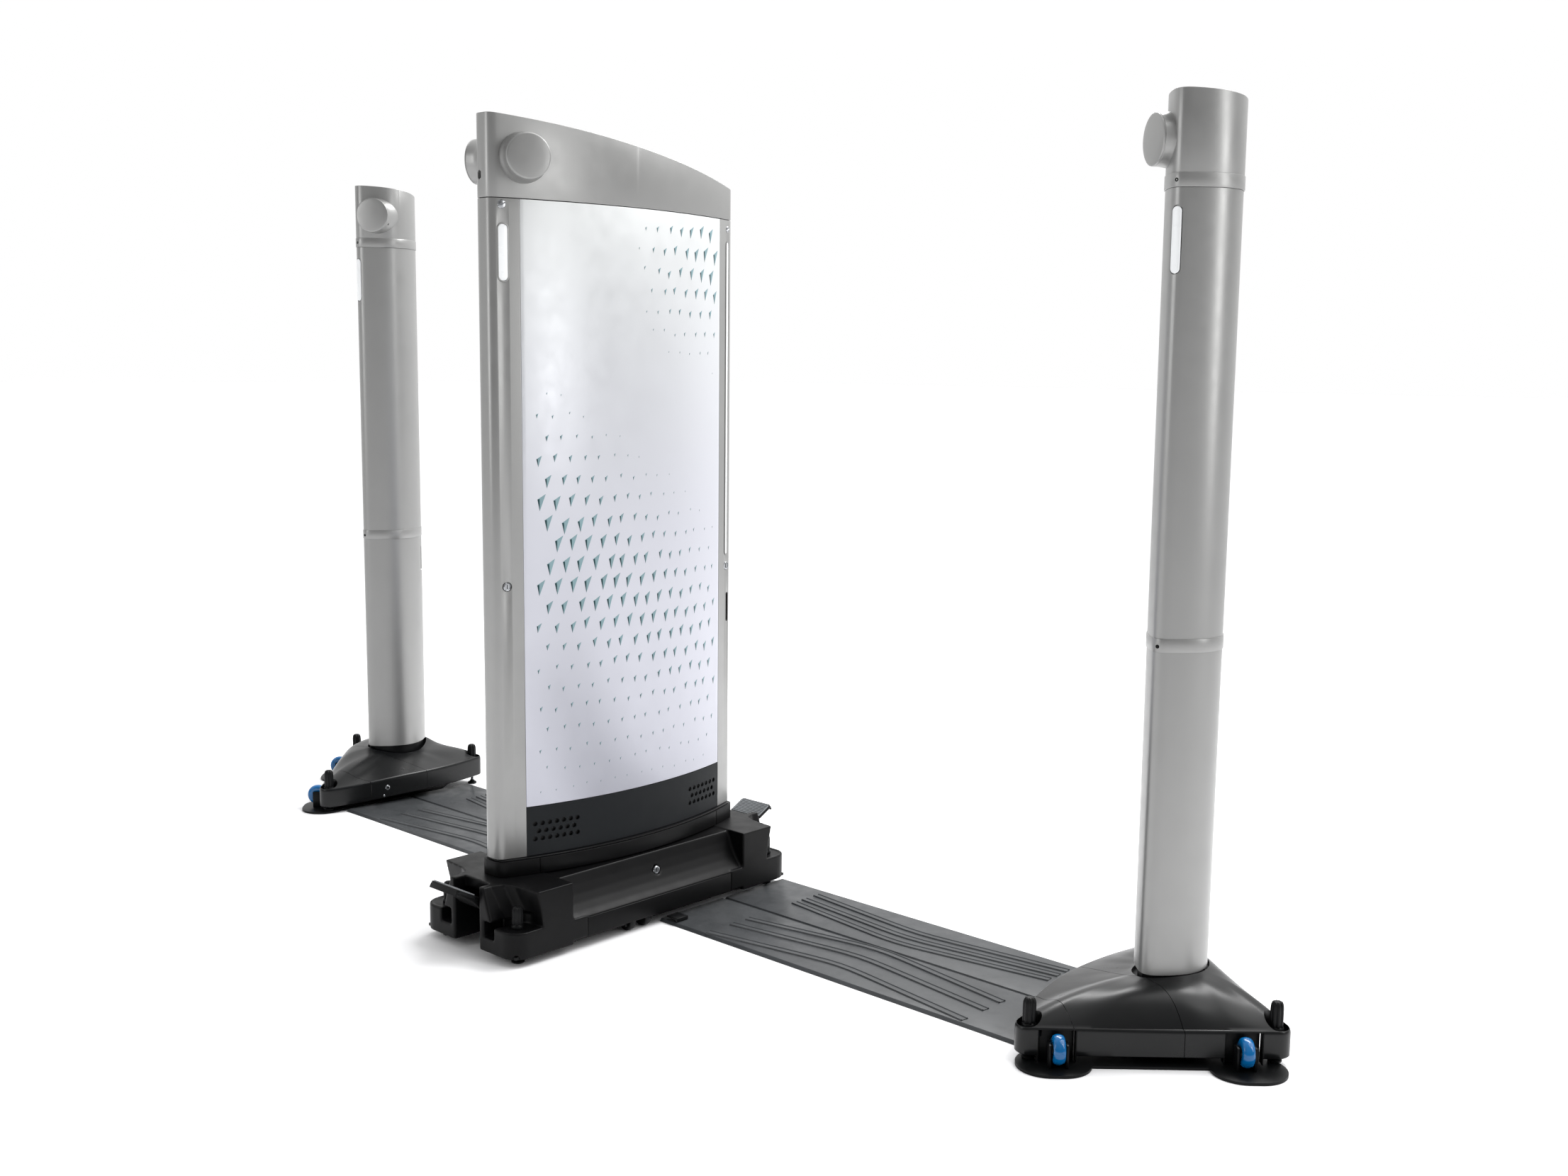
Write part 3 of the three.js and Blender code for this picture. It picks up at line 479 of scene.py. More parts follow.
# ---------- small fittings ----------
def screw(name, at, direction, radius, slotted=True, slot="bright_metal"):
    """A domed screw head with a slot or a hexagon socket, standing on a surface."""
    rise = radius * 0.28
    profile = [
        (0, -radius * 0.3), (radius * 0.98, -radius * 0.3), (radius, rise * 0.2),
        (radius * 0.86, rise * 0.75), (radius * 0.5, rise), (0, rise * 1.05),
    ]
    head = turned(name, profile, 28)
    if slotted:
        reach, half = radius * 1.2, radius * 0.13
        groove = extruded("groove", rectangle(-reach, reach, 0, 1), -half, half, "Y")
        groove.data.transform(Matrix.Translation((0, 0, rise * 0.25)))
    else:
        groove = extruded("groove", circle(radius * 0.5, 6), 0, 1)
    combined(head, groove)
    head.data.transform(facing(at, direction) @ Matrix.Rotation(math.radians(24), 4, "Z"))
    return dressed(head, slot, angle=30)


def lock_face(name, at, length=0.016):
    """A cam lock that looks along +X: bevelled ring, sunk plug and key slit."""
    radius = 0.011
    profile = [
        (0, 0), (radius * 0.8, 0), (radius * 0.8, length - 0.005), (radius, length - 0.005),
        (radius, length - 0.0018), (radius * 0.9, length - 0.0003), (radius * 0.72, length),
        (radius * 0.66, length - 0.0014), (0, length - 0.0014),
    ]
    barrel = turned(f"{name}_face", profile, 40)
    slit = extruded("slit", rectangle(-0.0012, 0.0012, -0.0055, 0.0055), length - 0.007, length + 0.01)
    combined(barrel, slit)
    barrel.data.transform(facing(at, (1, 0, 0)))
    dressed(barrel, "bright_metal", f"{name}_body", [name])


def levelling_foot(name, spot, radius, top, low, bottom, pad):
    """A fluted hand knob from low to top, on a bright screw with a pad that stands at bottom."""
    place = Matrix.Translation((*spot, 0))
    height = top - low
    skirt_profile = [
        (0, low - 0.0035), (radius * 1.08, low - 0.0035), (radius * 1.14, low - 0.001),
        (radius * 1.1, low + height * 0.1), (radius * 0.9, low + height * 0.16), (0, low + height * 0.16),
    ]
    knob_profile = [
        (0, low - 0.003), (radius * 0.8, low - 0.003), (radius * 0.98, low),
        (radius, low + height * 0.2), (radius, top - height * 0.28), (radius * 0.95, top - height * 0.14),
        (radius * 0.78, top - height * 0.04), (radius * 0.5, top - 0.0004), (0, top),
    ]
    stem = 0.005
    screw_profile = [(0, bottom + 0.004), (stem, bottom + 0.004)]
    for level in spread(bottom + 0.012, low - 0.004, 26):
        screw_profile += [(stem, level), (stem - 0.0008, level + 0.001)]
    screw_profile += [(stem, low - 0.001), (0, low - 0.001)]
    pad_profile = [
        (0, bottom), (pad - 0.001, bottom), (pad, bottom + 0.001), (pad, bottom + 0.0045),
        (pad * 0.9, bottom + 0.006), (stem + 0.003, bottom + 0.009), (stem + 0.002, bottom + 0.012),
        (0, bottom + 0.012),
    ]
    body = f"{name}_body"
    knob = turned(f"{name}_knob", knob_profile, 72, place, flutes=8, depth=radius * 0.16)
    dressed(turned(f"{name}_skirt", skirt_profile, 48, place), "black_grip", body, angle=40)
    dressed(knob, "black_grip", body, [name], angle=50)
    dressed(turned(f"{name}_screw", screw_profile, 20, place), "bright_metal", body, angle=25)
    dressed(turned(f"{name}_pad", pad_profile, 40, place), "black_grip", body, angle=30)


# ---------- centre tower ----------
def roof_at(y):
    along = (y + TOWER.chord) / (2 * TOWER.chord)
    return HEAD_FRONT + (HEAD_REAR - HEAD_FRONT) * along + HEAD_BULGE * 4 * along * (1 - along)


def strip(name, side, low, high, half=PANEL_HALF, out=0.0, skin=SKIN):
    """The part of one of the tower's broad sides within half of the middle, as a thin shell."""
    outer = [(TOWER.half(y) + out, y) for y in spread(-half, half, 64)]
    inner = [(TOWER.half(y) + out - skin, y) for y in spread(half, -half, 64)]
    return mirrored(extruded(name, outer + inner, low, high), side)


def end_wrap(name, end, cut, low, high, out=0.0, skin=SKIN):
    """The shell round one narrow end of the tower."""
    outer = end_path(TOWER, out, cut)
    inner = end_path(TOWER, out - skin, cut)
    loop = [(x, end * y) for x, y in outer + inner[::-1]]
    return extruded(name, loop, low, high)


def slot_tool(light, grow, side=None):
    """A slot through the flank's shell: both flanks, or one side's."""
    outline = shifted(stadium(light["half"] + grow, light["low"] - grow, light["high"] + grow), light["y"])
    middle = TOWER.half(light["y"])
    if side is None:
        return extruded("slot", outline, -middle - 0.03, middle + 0.03, "X")
    low, high = sorted((side * (middle - 0.02), side * (middle + 0.03)))
    return extruded("slot", outline, low, high, "X")


def make_tower_light(name, side, end, light):
    """A milky window in a narrow silver bezel."""
    low, high, cut = light["low"], light["high"], 0.345
    window = end_wrap(f"{name}_window", end, cut, low - 0.01, high + 0.01, 0.0006, 0.006)
    combined(window, slot_tool(light, -0.0022, side), "INTERSECT")
    softened(window, 0.0012, 3)
    dressed(window, "light_window", replaces=[name])
    bezel = end_wrap(f"{name}_bezel", end, cut, low - 0.02, high + 0.02, 0.0014, 0.006)
    combined(bezel, slot_tool(light, 0.0009, side), "INTERSECT")
    combined(bezel, slot_tool(light, -0.0018, side))
    softened(bezel, 0.0005)
    dressed(bezel, "silver_paint")


def make_trim(end_name, end):
    """The silver shell round one narrow end, with its lights, its lock's bore and the rear's recess."""
    light = REAR_LIGHT if end > 0 else FRONT_LIGHT
    wrap = end_wrap(f"trim_{end_name}_shell", end, PANEL_HALF + JOINT, TOWER_BOTTOM, TOWER_TOP)
    combined(wrap, slot_tool(light, 0.0012))
    combined(wrap, extruded("bore", shifted(circle(0.0118), *LOCKS[end_name]), 0.0, 0.12, "X"))
    if end > 0:
        combined(wrap, extruded("recess", shifted(stadium(0.006, 0.745, 0.827), 0.384), 0.0, 0.12, "X"))
        # A dark sheet behind the rear's recess: painted shade where the opening looks into the tower.
        backing = end_wrap("recess_back", end, 0.374, 0.74, 0.832, -0.0055, 0.002)
        dressed(backing, None, finish="painted_hole_shade")
    softened(wrap, 0.0011)
    dressed(wrap, "silver_paint", replaces=[f"trim_{end_name}"])
    for side_name, side in SIDES:
        make_tower_light(f"{end_name}_light_{side_name}", side, end, light)


def make_vents(side):
    """A tool with two groups of staggered round vents."""
    first, pitch, row_step, low = 0.314, 0.0193, 0.0195, 0.2665
    bars = []
    for _, end in ENDS:
        for row, count in enumerate((7, 6, 7)):
            for step in range(count):
                y = end * (first - pitch * (step + (row % 2) / 2))
                spot = shifted(circle(0.0062, 18), y, low + row_step * row)
                bars.append(extruded("vent", spot, 0.03, 0.13, "X"))
    return mirrored(joined("vents", bars), side)


def make_panels():
    """The white panel and the dark, vented kick panel of each side."""
    for side_name, side in SIDES:
        sheet = strip(f"panel_{side_name}_skin", side, KICK_TOP + JOINT, TOWER_TOP)
        softened(sheet, 0.0009)
        dressed(sheet, "panel_white", replaces=[f"panel_{side_name}"])
        kick = strip(f"kick_panel_{side_name}_skin", side, TOWER_BOTTOM, KICK_TOP - JOINT)
        combined(kick, make_vents(side))
        softened(kick, 0.0007, 1)
        dressed(kick, "charcoal", replaces=[f"kick_panel_{side_name}"])
        # A dark strip just inside the vents: painted shade behind them.
        dark = strip(f"kick_back_{side_name}", side, 0.24, 0.335, 0.33, -0.009, 0.002)
        dressed(dark, None, finish="painted_hole_shade")


def wedge_size(y, z):
    """How large a wedge is at a place of the panel, from 0 to 1: two drifts with a bare middle."""
    low_drift = math.exp(-(((z - 0.86 + 0.55 * y) / 0.26) ** 2)) * (0.9 - 0.9 * y)
    base_drift = 0.34 * math.exp(-(((z - 0.62) / 0.24) ** 2))
    high_drift = 1.1 * math.exp(-(((z - 1.74) / 0.2) ** 2)) * max(0.0, (y + 0.02) / 0.33) ** 0.7
    return min(1.0, max(low_drift, base_drift, high_drift))


def wedge_print(bm, corners, side, lift):
    """A three-cornered print on a panel, as a thin closed prism."""
    outer = [bm.verts.new((side * (TOWER.half(a) + lift), a, b)) for a, b in corners]
    inner = [bm.verts.new((side * (TOWER.half(a) - 0.001), a, b)) for a, b in corners]
    bm.faces.new(outer)
    bm.faces.new(inner[::-1])
    for k in range(3):
        after = (k + 1) % 3
        bm.faces.new((outer[k], inner[k], inner[after], outer[after]))


def make_wedges():
    """A scatter of small two-tone wedges printed on each panel."""
    pitch_y, shake_y, shake_z, largest, smallest = 0.043, 0.010, 0.0104, 0.046, 0.0045
    noise.seed_set(WEDGE_SEED)
    for side_name, side in SIDES:
        dark, pale = bmesh.new(), bmesh.new()
        for row, z0 in enumerate(spread(0.39, 1.80, 27)):
            for column in range(-8, 9):
                y0 = pitch_y * (column + 0.5 * (row % 2))
                shake = noise.noise_vector(Vector((y0 * 31, z0 * 17, 3.0)))
                y = y0 + shake_y * shake.x
                z = z0 + shake_z * shake.y
                size = largest * wedge_size(y, z)
                if size < smallest or abs(y) > PANEL_HALF - 0.03:
                    continue
                lean = 0.5 + 0.35 * shake.z
                short = size * 0.55
                tip = (y, z)
                back = (y + short * (1 - lean * 0.3), z + size * 0.28)
                foot = (y + short * 0.5 * lean, z - size * 0.62)
                edge = (y + short * 0.22, z + size * 0.02)
                wedge_print(pale, (tip, back, foot), side, 0.00025)
                wedge_print(dark, (tip, edge, foot), side, 0.0004)
        for tone, bm in (("dark", dark), ("pale", pale)):
            dressed(object_of(f"wedges_{tone}_{side_name}", bm), None, finish=f"wedge_{tone}")


def make_head():
    """The tower's head: a lens block with a sloping, bowed roof and a sight hole in its narrow front."""
    head = extruded("tower_head_shell", lens_loop(TOWER), HEAD_BOTTOM, 2.2)
    roofed(head, spread(-TOWER.chord + 0.03, TOWER.chord - 0.03, 28), HEAD_BOTTOM + 0.03, roof_at)
    hexagon = [(-0.007, -0.007), (0, -0.0115), (0.007, -0.007), (0.007, 0.007), (0, 0.0115), (-0.007, 0.007)]
    combined(head, extruded("sight", shifted(hexagon, SIGHT_X, SIGHT_Z), -0.5, -0.385, "Y"))
    softened(head, 0.003, 3, 40)
    dressed(head, "silver_paint", replaces=["tower_head"], angle=40)
    back = extruded("sight_back", shifted(circle(0.0125), SIGHT_X, SIGHT_Z), -0.392, -0.386, "Y")
    softened(back, 0.0006, 1)
    dressed(back, None, finish="lens_dark")


# The foot of a pod's barrel as (extra radius, height along the barrel).
TOWER_POD_FOOT = ((0.006, 0.002), (0.0048, 0.006), (0.0021, 0.012), (0.0006, 0.019), (0.0, 0.026))
PYLON_POD_FOOT = ((0.010, -0.028), (0.007, -0.012), (0.004, 0.004), (0.0014, 0.018), (0.0, 0.028))


def heading_of(degrees):
    turn = math.radians(degrees)
    return Vector((math.cos(turn), math.sin(turn), 0))


def camera_pod(name, face, heading, foot, back, replaces, centre=Vector((0, 0, 0)), side=1):
    """A camera barrel: domed face, rim step, straight barrel and a foot that meets the wall."""
    radius, length = 0.054, 0.045
    profile = [(0, -back), (radius + foot[0][0], -back)] + [(radius + out, along) for out, along in foot] + [
        (radius, length - 0.0058), (radius - 0.0008, length - 0.005), (radius - 0.0008, length - 0.0042),
        (radius, length - 0.0034), (radius - 0.0004, length - 0.0014), (radius - 0.002, length - 0.0003),
        (radius - 0.005, length + 0.0002), (radius - 0.020, length + 0.0016), (0, length + 0.0026),
    ]
    direction = heading_of(heading)
    seat = Vector(face) - direction * length
    pod = turned(name, profile, 72, facing(seat, direction))
    pod.data.transform(Matrix.Translation(centre))
    dressed(mirrored(pod, side), "silver_paint", replaces=replaces, angle=28)


def make_pod_slot(name, side):
    """The small slanting slot low on the pod's barrel, drawn as a thin dark piece of painted shade laid on
    the barrel.
    """
    drop, slant = math.radians(27), math.radians(62)
    across = Vector((-0.809, 0.588, 0)) * math.cos(drop) - Vector((0, 0, math.sin(drop)))
    at = Vector(PYLON_POD) - heading_of(PYLON_POD_HEADING) * 0.030 + across * 0.0535
    slot = extruded(f"{name}_pod_slot", stadium(0.0032, -0.0105, 0.0105), 0.0, 0.0016)
    slot.data.transform(facing(at, across) @ Matrix.Rotation(slant, 4, "Z"))
    dressed(placed(slot, side), None, finish="painted_hole_shade")


def make_tower():
    for end_name, end in ENDS:
        make_trim(end_name, end)
    make_panels()
    make_wedges()
    make_head()
    for side_name, side in SIDES:
        camera_pod(f"tower_pod_{side_name}", (0.104, -0.347, 1.939), -22, TOWER_POD_FOOT, 0.02,
                   [f"tower_camera_{side_name}"], side=side)
        for end_name, end in ENDS:
            y = end * 0.379
            z, radius = TRIM_SCREWS[end_name]
            at = (side * TOWER.half(y), y, z)
            screw(f"trim_screw_{end_name}_{side_name}", at, TOWER.normal(y, side), radius)
    for end_name, (y, z) in LOCKS.items():
        lock_face(f"lock_{end_name}", (TOWER.half(y) + 0.0015 - 0.016, y, z))


def make_plinth():
    """The black collar under the tower, with a lip along its top and a seam near each end."""
    plinth = extruded("plinth_collar", lens_loop(PLINTH), PLINTH_BOTTOM, PLINTH_TOP)
    for y in (-PLINTH_SEAM_Y, PLINTH_SEAM_Y):
        groove = extruded("groove", rectangle(y - JOINT, y + JOINT, 0.1, 0.3), -0.3, 0.3, "X")
        combined(groove, extruded("core", lens_loop(PLINTH, -0.0022), 0.05, 0.4))
        combined(plinth, groove)
    softened(plinth, 0.0035, 3, 40)
    dressed(plinth, "moulded_black", replaces=["tower_plinth"])
    lip = extruded("plinth_lip", lens_loop(PLINTH, -0.006), PLINTH_TOP, LIP_TOP)
    softened(lip, 0.0015, 2, 40)
    dressed(lip, "gloss_black")


# ---------- centre base ----------
def moulded(node_name, name, voxel, smoothing):
    """A CAD solid with its edges melted round, as a moulding's are."""
    piece = linked(name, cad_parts[node_name].data.copy())
    remesh = piece.modifiers.new("remesh", "REMESH")
    remesh.mode = "VOXEL"
    remesh.voxel_size = voxel
    soften = piece.modifiers.new("soften", "SMOOTH")
    soften.iterations = smoothing
    soften.factor = 0.5
    return applied(piece)


def make_base():
    cover = moulded("base_cover", "base_moulding", 0.0026, 7)
    dressed(cover, "moulded_black", replaces=["base_cover"], angle=60)
    for side_name, side in SIDES:
        outline = rectangle(-0.2535, 0.2535, 0.030, 0.079)
        skirt = extruded(f"skirt_{side_name}", outline, 0.1862, 0.190, "X")
        softened(skirt, 0.0016, 3)
        dressed(mirrored(skirt, side), "moulded_black", replaces=[f"base_skirt_{side_name}"])
        make_rollers(side_name, side)
        for end_name, end in ENDS:
            levelling_foot(
                f"base_foot_{end_name}_{side_name}", (side * BASE_FOOT_X, end * BASE_FOOT_Y),
                radius=0.0135, top=0.140, low=0.0885, bottom=0.0, pad=0.0165,
            )
    lock_face("lock_base", (0.124, 0.016, 0.132), 0.026)
    for end_name, end in ENDS:
        make_pedal(end_name, end)
    make_clips()


def make_rollers(side_name, side):
    """Two small rollers on one bright axle."""
    name = f"roller_pair_{side_name}"
    radius, half = ROLLER_RADIUS, ROLLER_HALF
    profile = [
        (0, -half), (0.008, -half), (0.010, -half + 0.002), (radius - 0.006, -half + 0.002),
        (radius - 0.003, -half), (radius - 0.0012, -half + 0.0012), (radius, -half + 0.004),
    ]
    rollers = []
    for y in ROLLER_YS:
        place = facing((side * ROLLER_X, y, radius), (0, 1, 0))
        rollers.append(turned("roller", doubled(profile), 40, place))
    dressed(joined(f"{name}_tyres", rollers), "black_grip", f"{name}_body", [name], angle=30)
    axle_profile = doubled([(0, -0.045), (0.0034, -0.045), (0.004, -0.0444)])
    place = facing((side * ROLLER_X, sum(ROLLER_YS) / 2, radius), (0, 1, 0))
    dressed(turned(f"{name}_axle", axle_profile, 24, place), "bright_metal", f"{name}_body", angle=30)


def rounded_plan(half_x, half_y, corner):
    """A rectangle's outline with round corners."""
    plan = []
    for sx, sy, start in ((1, 1, 0), (-1, 1, 90), (-1, -1, 180), (1, -1, 270)):
        for step in range(7):
            turn = math.radians(start + 15 * step)
            x = sx * (half_x - corner) + corner * math.cos(turn)
            plan.append((x, sy * (half_y - corner) + corner * math.sin(turn)))
    return plan


def make_pedal(end_name, end):
    """A foot pedal: hub and arms in the leg gap, and a ribbed grey board tilted up outwards."""
    name = f"pedal_{end_name}"
    half_x, half_y, thick = 0.058, 0.031, 0.009
    centre = Vector((0, PEDAL_HUB_Y + PEDAL_REACH, PEDAL_HUB_Z + PEDAL_RISE))
    lay = Matrix.Translation(centre) @ Matrix.Rotation(math.radians(PEDAL_TILT), 4, "X")
    plan = rounded_plan(half_x, half_y, 0.010)
    board = softened(extruded("board", plan, -0.001, thick - 0.0025), 0.0015)
    tread = [extruded("pad", [(x * 0.95, y * 0.9) for x, y in plan], thick - 0.004, thick - 0.0018)]
    rib_loop = [(-0.0016, 0), (0.0016, 0), (0.0009, 0.0030), (-0.0009, 0.0030)]
    for y in spread(-half_y + 0.006, half_y - 0.006, 9):
        rib = extruded("rib", shifted(rib_loop, y, thick - 0.003), -half_x + 0.007, half_x - 0.007, "X")
        tread.append(rib)
    top = joined(f"{name}_tread", tread)
    lip_loop = rectangle(half_y - 0.004, half_y + 0.0005, -0.011, 0.001)
    lip = extruded("lip", lip_loop, -half_x + 0.005, half_x - 0.005, "X")
    for piece in (top, lip, board):
        piece.data.transform(lay)
    softened(lip, 0.001)
    arm_loop = [
        (-0.004, -0.010), (0.020, -0.008), (0.046, 0.008), (0.068, 0.030), (0.092, 0.046),
        (0.116, 0.058), (0.116, 0.068), (0.070, 0.050), (0, 0.010),
    ]
    arms = extruded("arm", shifted(arm_loop, PEDAL_HUB_Y, PEDAL_HUB_Z), -0.044, 0.044, "X")
    hub_profile = doubled([(0, -0.048), (0.010, -0.048), (0.012, -0.046)])
    hub = turned("hub", hub_profile, 32, facing((0, PEDAL_HUB_Y, PEDAL_HUB_Z), (1, 0, 0)))
    lever = joined(f"{name}_arms", [softened(arms, 0.003, 3, 20), hub, lip, board])
    if end < 0:
        flipped(top, (0, 1, 0))
        flipped(lever, (0, 1, 0))
    dressed(top, "grey_tread", f"{name}_body", [name])
    dressed(lever, "black_steel", f"{name}_body")


def make_clips():
    """The bent metal clip that holds each mat's near inner corner to the base."""
    loop = [(0.192, 0.014), (0.226, 0.014), (0.226, 0.009), (0.232, 0.009), (0.232, 0.019), (0.192, 0.019)]
    for side_name, side in SIDES:
        clip = extruded(f"mat_clip_{side_name}", loop, 0.012, 0.052, "Y")
        softened(clip, 0.001)
        dressed(mirrored(clip, side), "black_steel")


# ---------- mats ----------
# A rib across its width, as (share of its half width, share of its rise): two ridges and a sunk middle.
RIB_PROFILE = (
    (-1.0, 0.0), (-0.82, 1.0), (-0.66, 1.0), (-0.5, 0.45), (0.5, 0.45), (0.66, 1.0), (0.82, 1.0), (1.0, 0.0),
)


def eased_path(line, steps=10):
    """Points along a bent line, with its bends eased."""
    path = []
    for start, end in zip(line, line[1:]):
        for share in spread(0, 1, steps)[:-1]:
            path.append(Vector(start).lerp(Vector(end), share))
    path.append(Vector(line[-1]))
    for _ in range(3):
        inside = [(before + here * 2 + after) / 4 for before, here, after in zip(path, path[1:], path[2:])]
        path = [path[0], *inside, path[-1]]
    return path


def rib_strip(bm, line):
    """A raised, bordered strip along a bent line, closed by a flat underside."""
    path = eased_path(line)
    rings = []
    under = []
    for index, point in enumerate(path):
        ahead = path[min(index + 1, len(path) - 1)] - path[max(index - 1, 0)]
        across = Vector((-ahead.y, ahead.x)).normalized()
        ring = []
        for offset, level in RIB_PROFILE:
            spot = point + across * RIB_HALF * offset
            ring.append(bm.verts.new((spot.x, spot.y, MAT_THICK + RIB_RISE * level)))
        rings.append(ring)
    for ring in rings:
        under.append([bm.verts.new((ring[k].co.x, ring[k].co.y, MAT_THICK - 0.002)) for k in (0, -1)])
    for here, after in zip(rings, rings[1:]):
        for k in range(len(RIB_PROFILE) - 1):
            bm.faces.new((here[k], here[k + 1], after[k + 1], after[k]))
    for here, after, low_here, low_after in zip(rings, rings[1:], under, under[1:]):
        bm.faces.new((here[0], after[0], low_after[0], low_here[0]))
        bm.faces.new((here[-1], low_here[1], low_after[1], after[-1]))
        bm.faces.new((low_here[0], low_after[0], low_after[1], low_here[1]))
    bm.faces.new(rings[0][::-1] + [under[0][0], under[0][1]])
    bm.faces.new(rings[-1] + [under[-1][1], under[-1][0]])


def make_mats():
    """Each lane's two-ply mat with a cable groove along its middle and raised ribs."""
    middle = (NEAR + FAR) / 2
    lower, upper = middle - MAT_GROOVE, middle + MAT_GROOVE
    outline = [
        (NEAR, 0), (FAR, 0), (FAR, 0.002), (FAR - MAT_EDGE, MAT_THICK), (upper + 0.002, MAT_THICK),
        (upper, MAT_THICK - 0.004), (lower, MAT_THICK - 0.004), (lower - 0.002, MAT_THICK),
        (NEAR + MAT_EDGE, MAT_THICK), (NEAR, 0.002),
    ]
    for side_name, side in SIDES:
        slab = extruded(f"mat_{side_name}_slab", outline, MAT_INNER, MAT_OUTER, "X")
        softened(slab, 0.0008, 2, 20)
        dressed(mirrored(slab, side), "mat_rubber", replaces=[f"mat_{side_name}"])
        bm = bmesh.new()
        for bends in NEAR_RIBS + FAR_RIBS:
            rib_strip(bm, list(zip(RIB_X, bends)))
        dressed(mirrored(object_of(f"mat_{side_name}_ribs", bm), side), "mat_rubber", angle=25)


# ---------- pylons ----------
def face_frame():
    """The wheeled face's start, direction, outward direction and length, in the pylon's frame."""
    nose, outer = Vector(CORNERS["nose"]), Vector(CORNERS["outer"])
    along = (outer - nose).normalized()
    return nose, along, Vector((along.y, -along.x)), (outer - nose).length


FACE_START, FACE_ALONG, FACE_OUT, FACE_LENGTH = face_frame()
FACE_TURN = math.atan2(FACE_ALONG.y, FACE_ALONG.x)


def on_face(along, out):
    return FACE_START + FACE_ALONG * along + FACE_OUT * out


WHEEL_SPOTS = {"nose": on_face(0.056, 0.048), "outer": on_face(FACE_LENGTH - 0.074, 0.048)}
PLATE_LOBES = (on_face(0.050, 0.026), on_face(FACE_LENGTH - 0.066, 0.044))
PLATE_WEB = (
    tuple(on_face(0.016, 0.042)), tuple(on_face(FACE_LENGTH - 0.016, 0.042)),
    (0.235, 0.010), (-0.02, 0.125), (-0.10, 0.14), (-0.165, 0.06), (-0.15, -0.31),
)


def placed(piece, side):
    """Moves a piece from the pylon's own frame to its place, mirrored for the left pylon."""
    piece.data.transform(Matrix.Translation(PYLON_AT))
    return mirrored(piece, side)


def rim_rise(point):
    """0 along the wheeled face, 1 from 240 mm inwards, with an eased change between."""
    inward = (FACE_START - point).dot(FACE_OUT)
    share = min(1.0, max(0.0, inward / RISE_WIDTH))
    return share * share * (3 - 2 * share) * 0.6 + share * 0.4


def rim_outline(steps=44, corner_steps=12):
    """The plan of the base, anticlockwise: wheeled face, outer side, and the bowed lane side."""
    nose, outer, rear = (Vector(CORNERS[key]) for key in ("nose", "outer", "rear"))
    sides = ((nose, outer, FACE_BULGE), (outer, rear, OUTER_BULGE), (rear, nose, LANE_BULGE))
    points = []
    for start, end, bulge in sides:
        line = end - start
        square = Vector((line.y, -line.x)).normalized()
        centre = [start + line * s + square * bulge * 4 * s * (1 - s) for s in spread(0, 1, steps)]
        for index, spot in enumerate(centre):
            ahead = centre[min(index + 1, steps)] - centre[max(index - 1, 0)]
            out = Vector((ahead.y, -ahead.x)).normalized()
            points.append((spot + out * RIM_RADIUS, out))
    loop = []
    for index, (spot, out) in enumerate(points):
        loop.append(spot)
        if (index + 1) % (steps + 1) == 0:
            centre = spot - out * RIM_RADIUS
            sweep = out.angle(points[(index + 1) % len(points)][1])
            for step in range(1, corner_steps):
                turn = Matrix.Rotation(sweep * step / corner_steps, 2)
                loop.append(centre + turn @ out * RIM_RADIUS)
    return loop


def ray_to(loop, direction):
    """How far a loop round the origin lies along a direction."""
    best = 0.0
    for start, end in zip(loop, loop[1:] + loop[:1]):
        line = (end[0] - start[0], end[1] - start[1])
        cross = direction.x * line[1] - direction.y * line[0]
        if abs(cross) < 1e-12:
            continue
        reach = (start[0] * line[1] - start[1] * line[0]) / cross
        share = (start[0] * direction.y - start[1] * direction.x) / cross
        if reach > 0 and -1e-9 <= share <= 1 + 1e-9:
            best = max(best, reach)
    return best


def ring_height(x):
    """The ring round the column dips on the lane side."""
    change = RING_OUTER_RISE if x > 0 else RING_LANE_DIP
    return RING_LEVEL + change * max(-1.0, min(1.0, x / COLUMN.middle))


def fullness(spot):
    angle = math.degrees(math.atan2(spot.y, spot.x))
    for (start, low), (end, high) in zip(FULLNESS, FULLNESS[1:]):
        if start <= angle <= end:
            share = (angle - start) / (end - start)
            return low + (high - low) * (0.5 - 0.5 * math.cos(math.pi * share))
    return FULLNESS[0][1]


def dome_line(edge, ring_loop):
    """One line of the dome's surface, from the column's ring out to the rim and down to its foot."""
    start = edge.normalized() * ray_to(ring_loop, edge.normalized())
    inwards = (start - edge).normalized()
    top = RIM_TOP + RIM_TOP_RISE * rim_rise(edge)
    foot = RIM_FOOT + RIM_FOOT_RISE * rim_rise(edge)
    shoulder = top + CREASE_LIFT
    ring_z = ring_height(start.x)
    span = (edge - start).length
    power = fullness(edge)
    line = [(start.x, start.y, ring_z - 0.014), (start.x, start.y, ring_z - 0.0015)]
    for share in spread(0, 1, 30):
        reach = start.lerp(edge, share * (1 - CREASE * CREASE_SHARE / span))
        # The skin sweeps up a little where it meets the column's ring.
        flare = 0.003 * math.exp(-share * span / 0.010)
        height = shoulder + (ring_z - 0.006 - top) * (1 - share**power) + flare
        line.append((reach.x, reach.y, height))
    for step in range(1, 7):
        turn = math.pi / 2 * step / 6
        spot = edge + inwards * CREASE * CREASE_SHARE * (1 - math.sin(turn))
        line.append((spot.x, spot.y, shoulder - CREASE * (1 - math.cos(turn))))
    for share in (0.35, 0.7, 0.96):
        line.append((edge.x, edge.y, shoulder - CREASE + (foot - shoulder + CREASE) * share))
    spot = edge + inwards * 0.002
    line.append((spot.x, spot.y, foot))
    return line


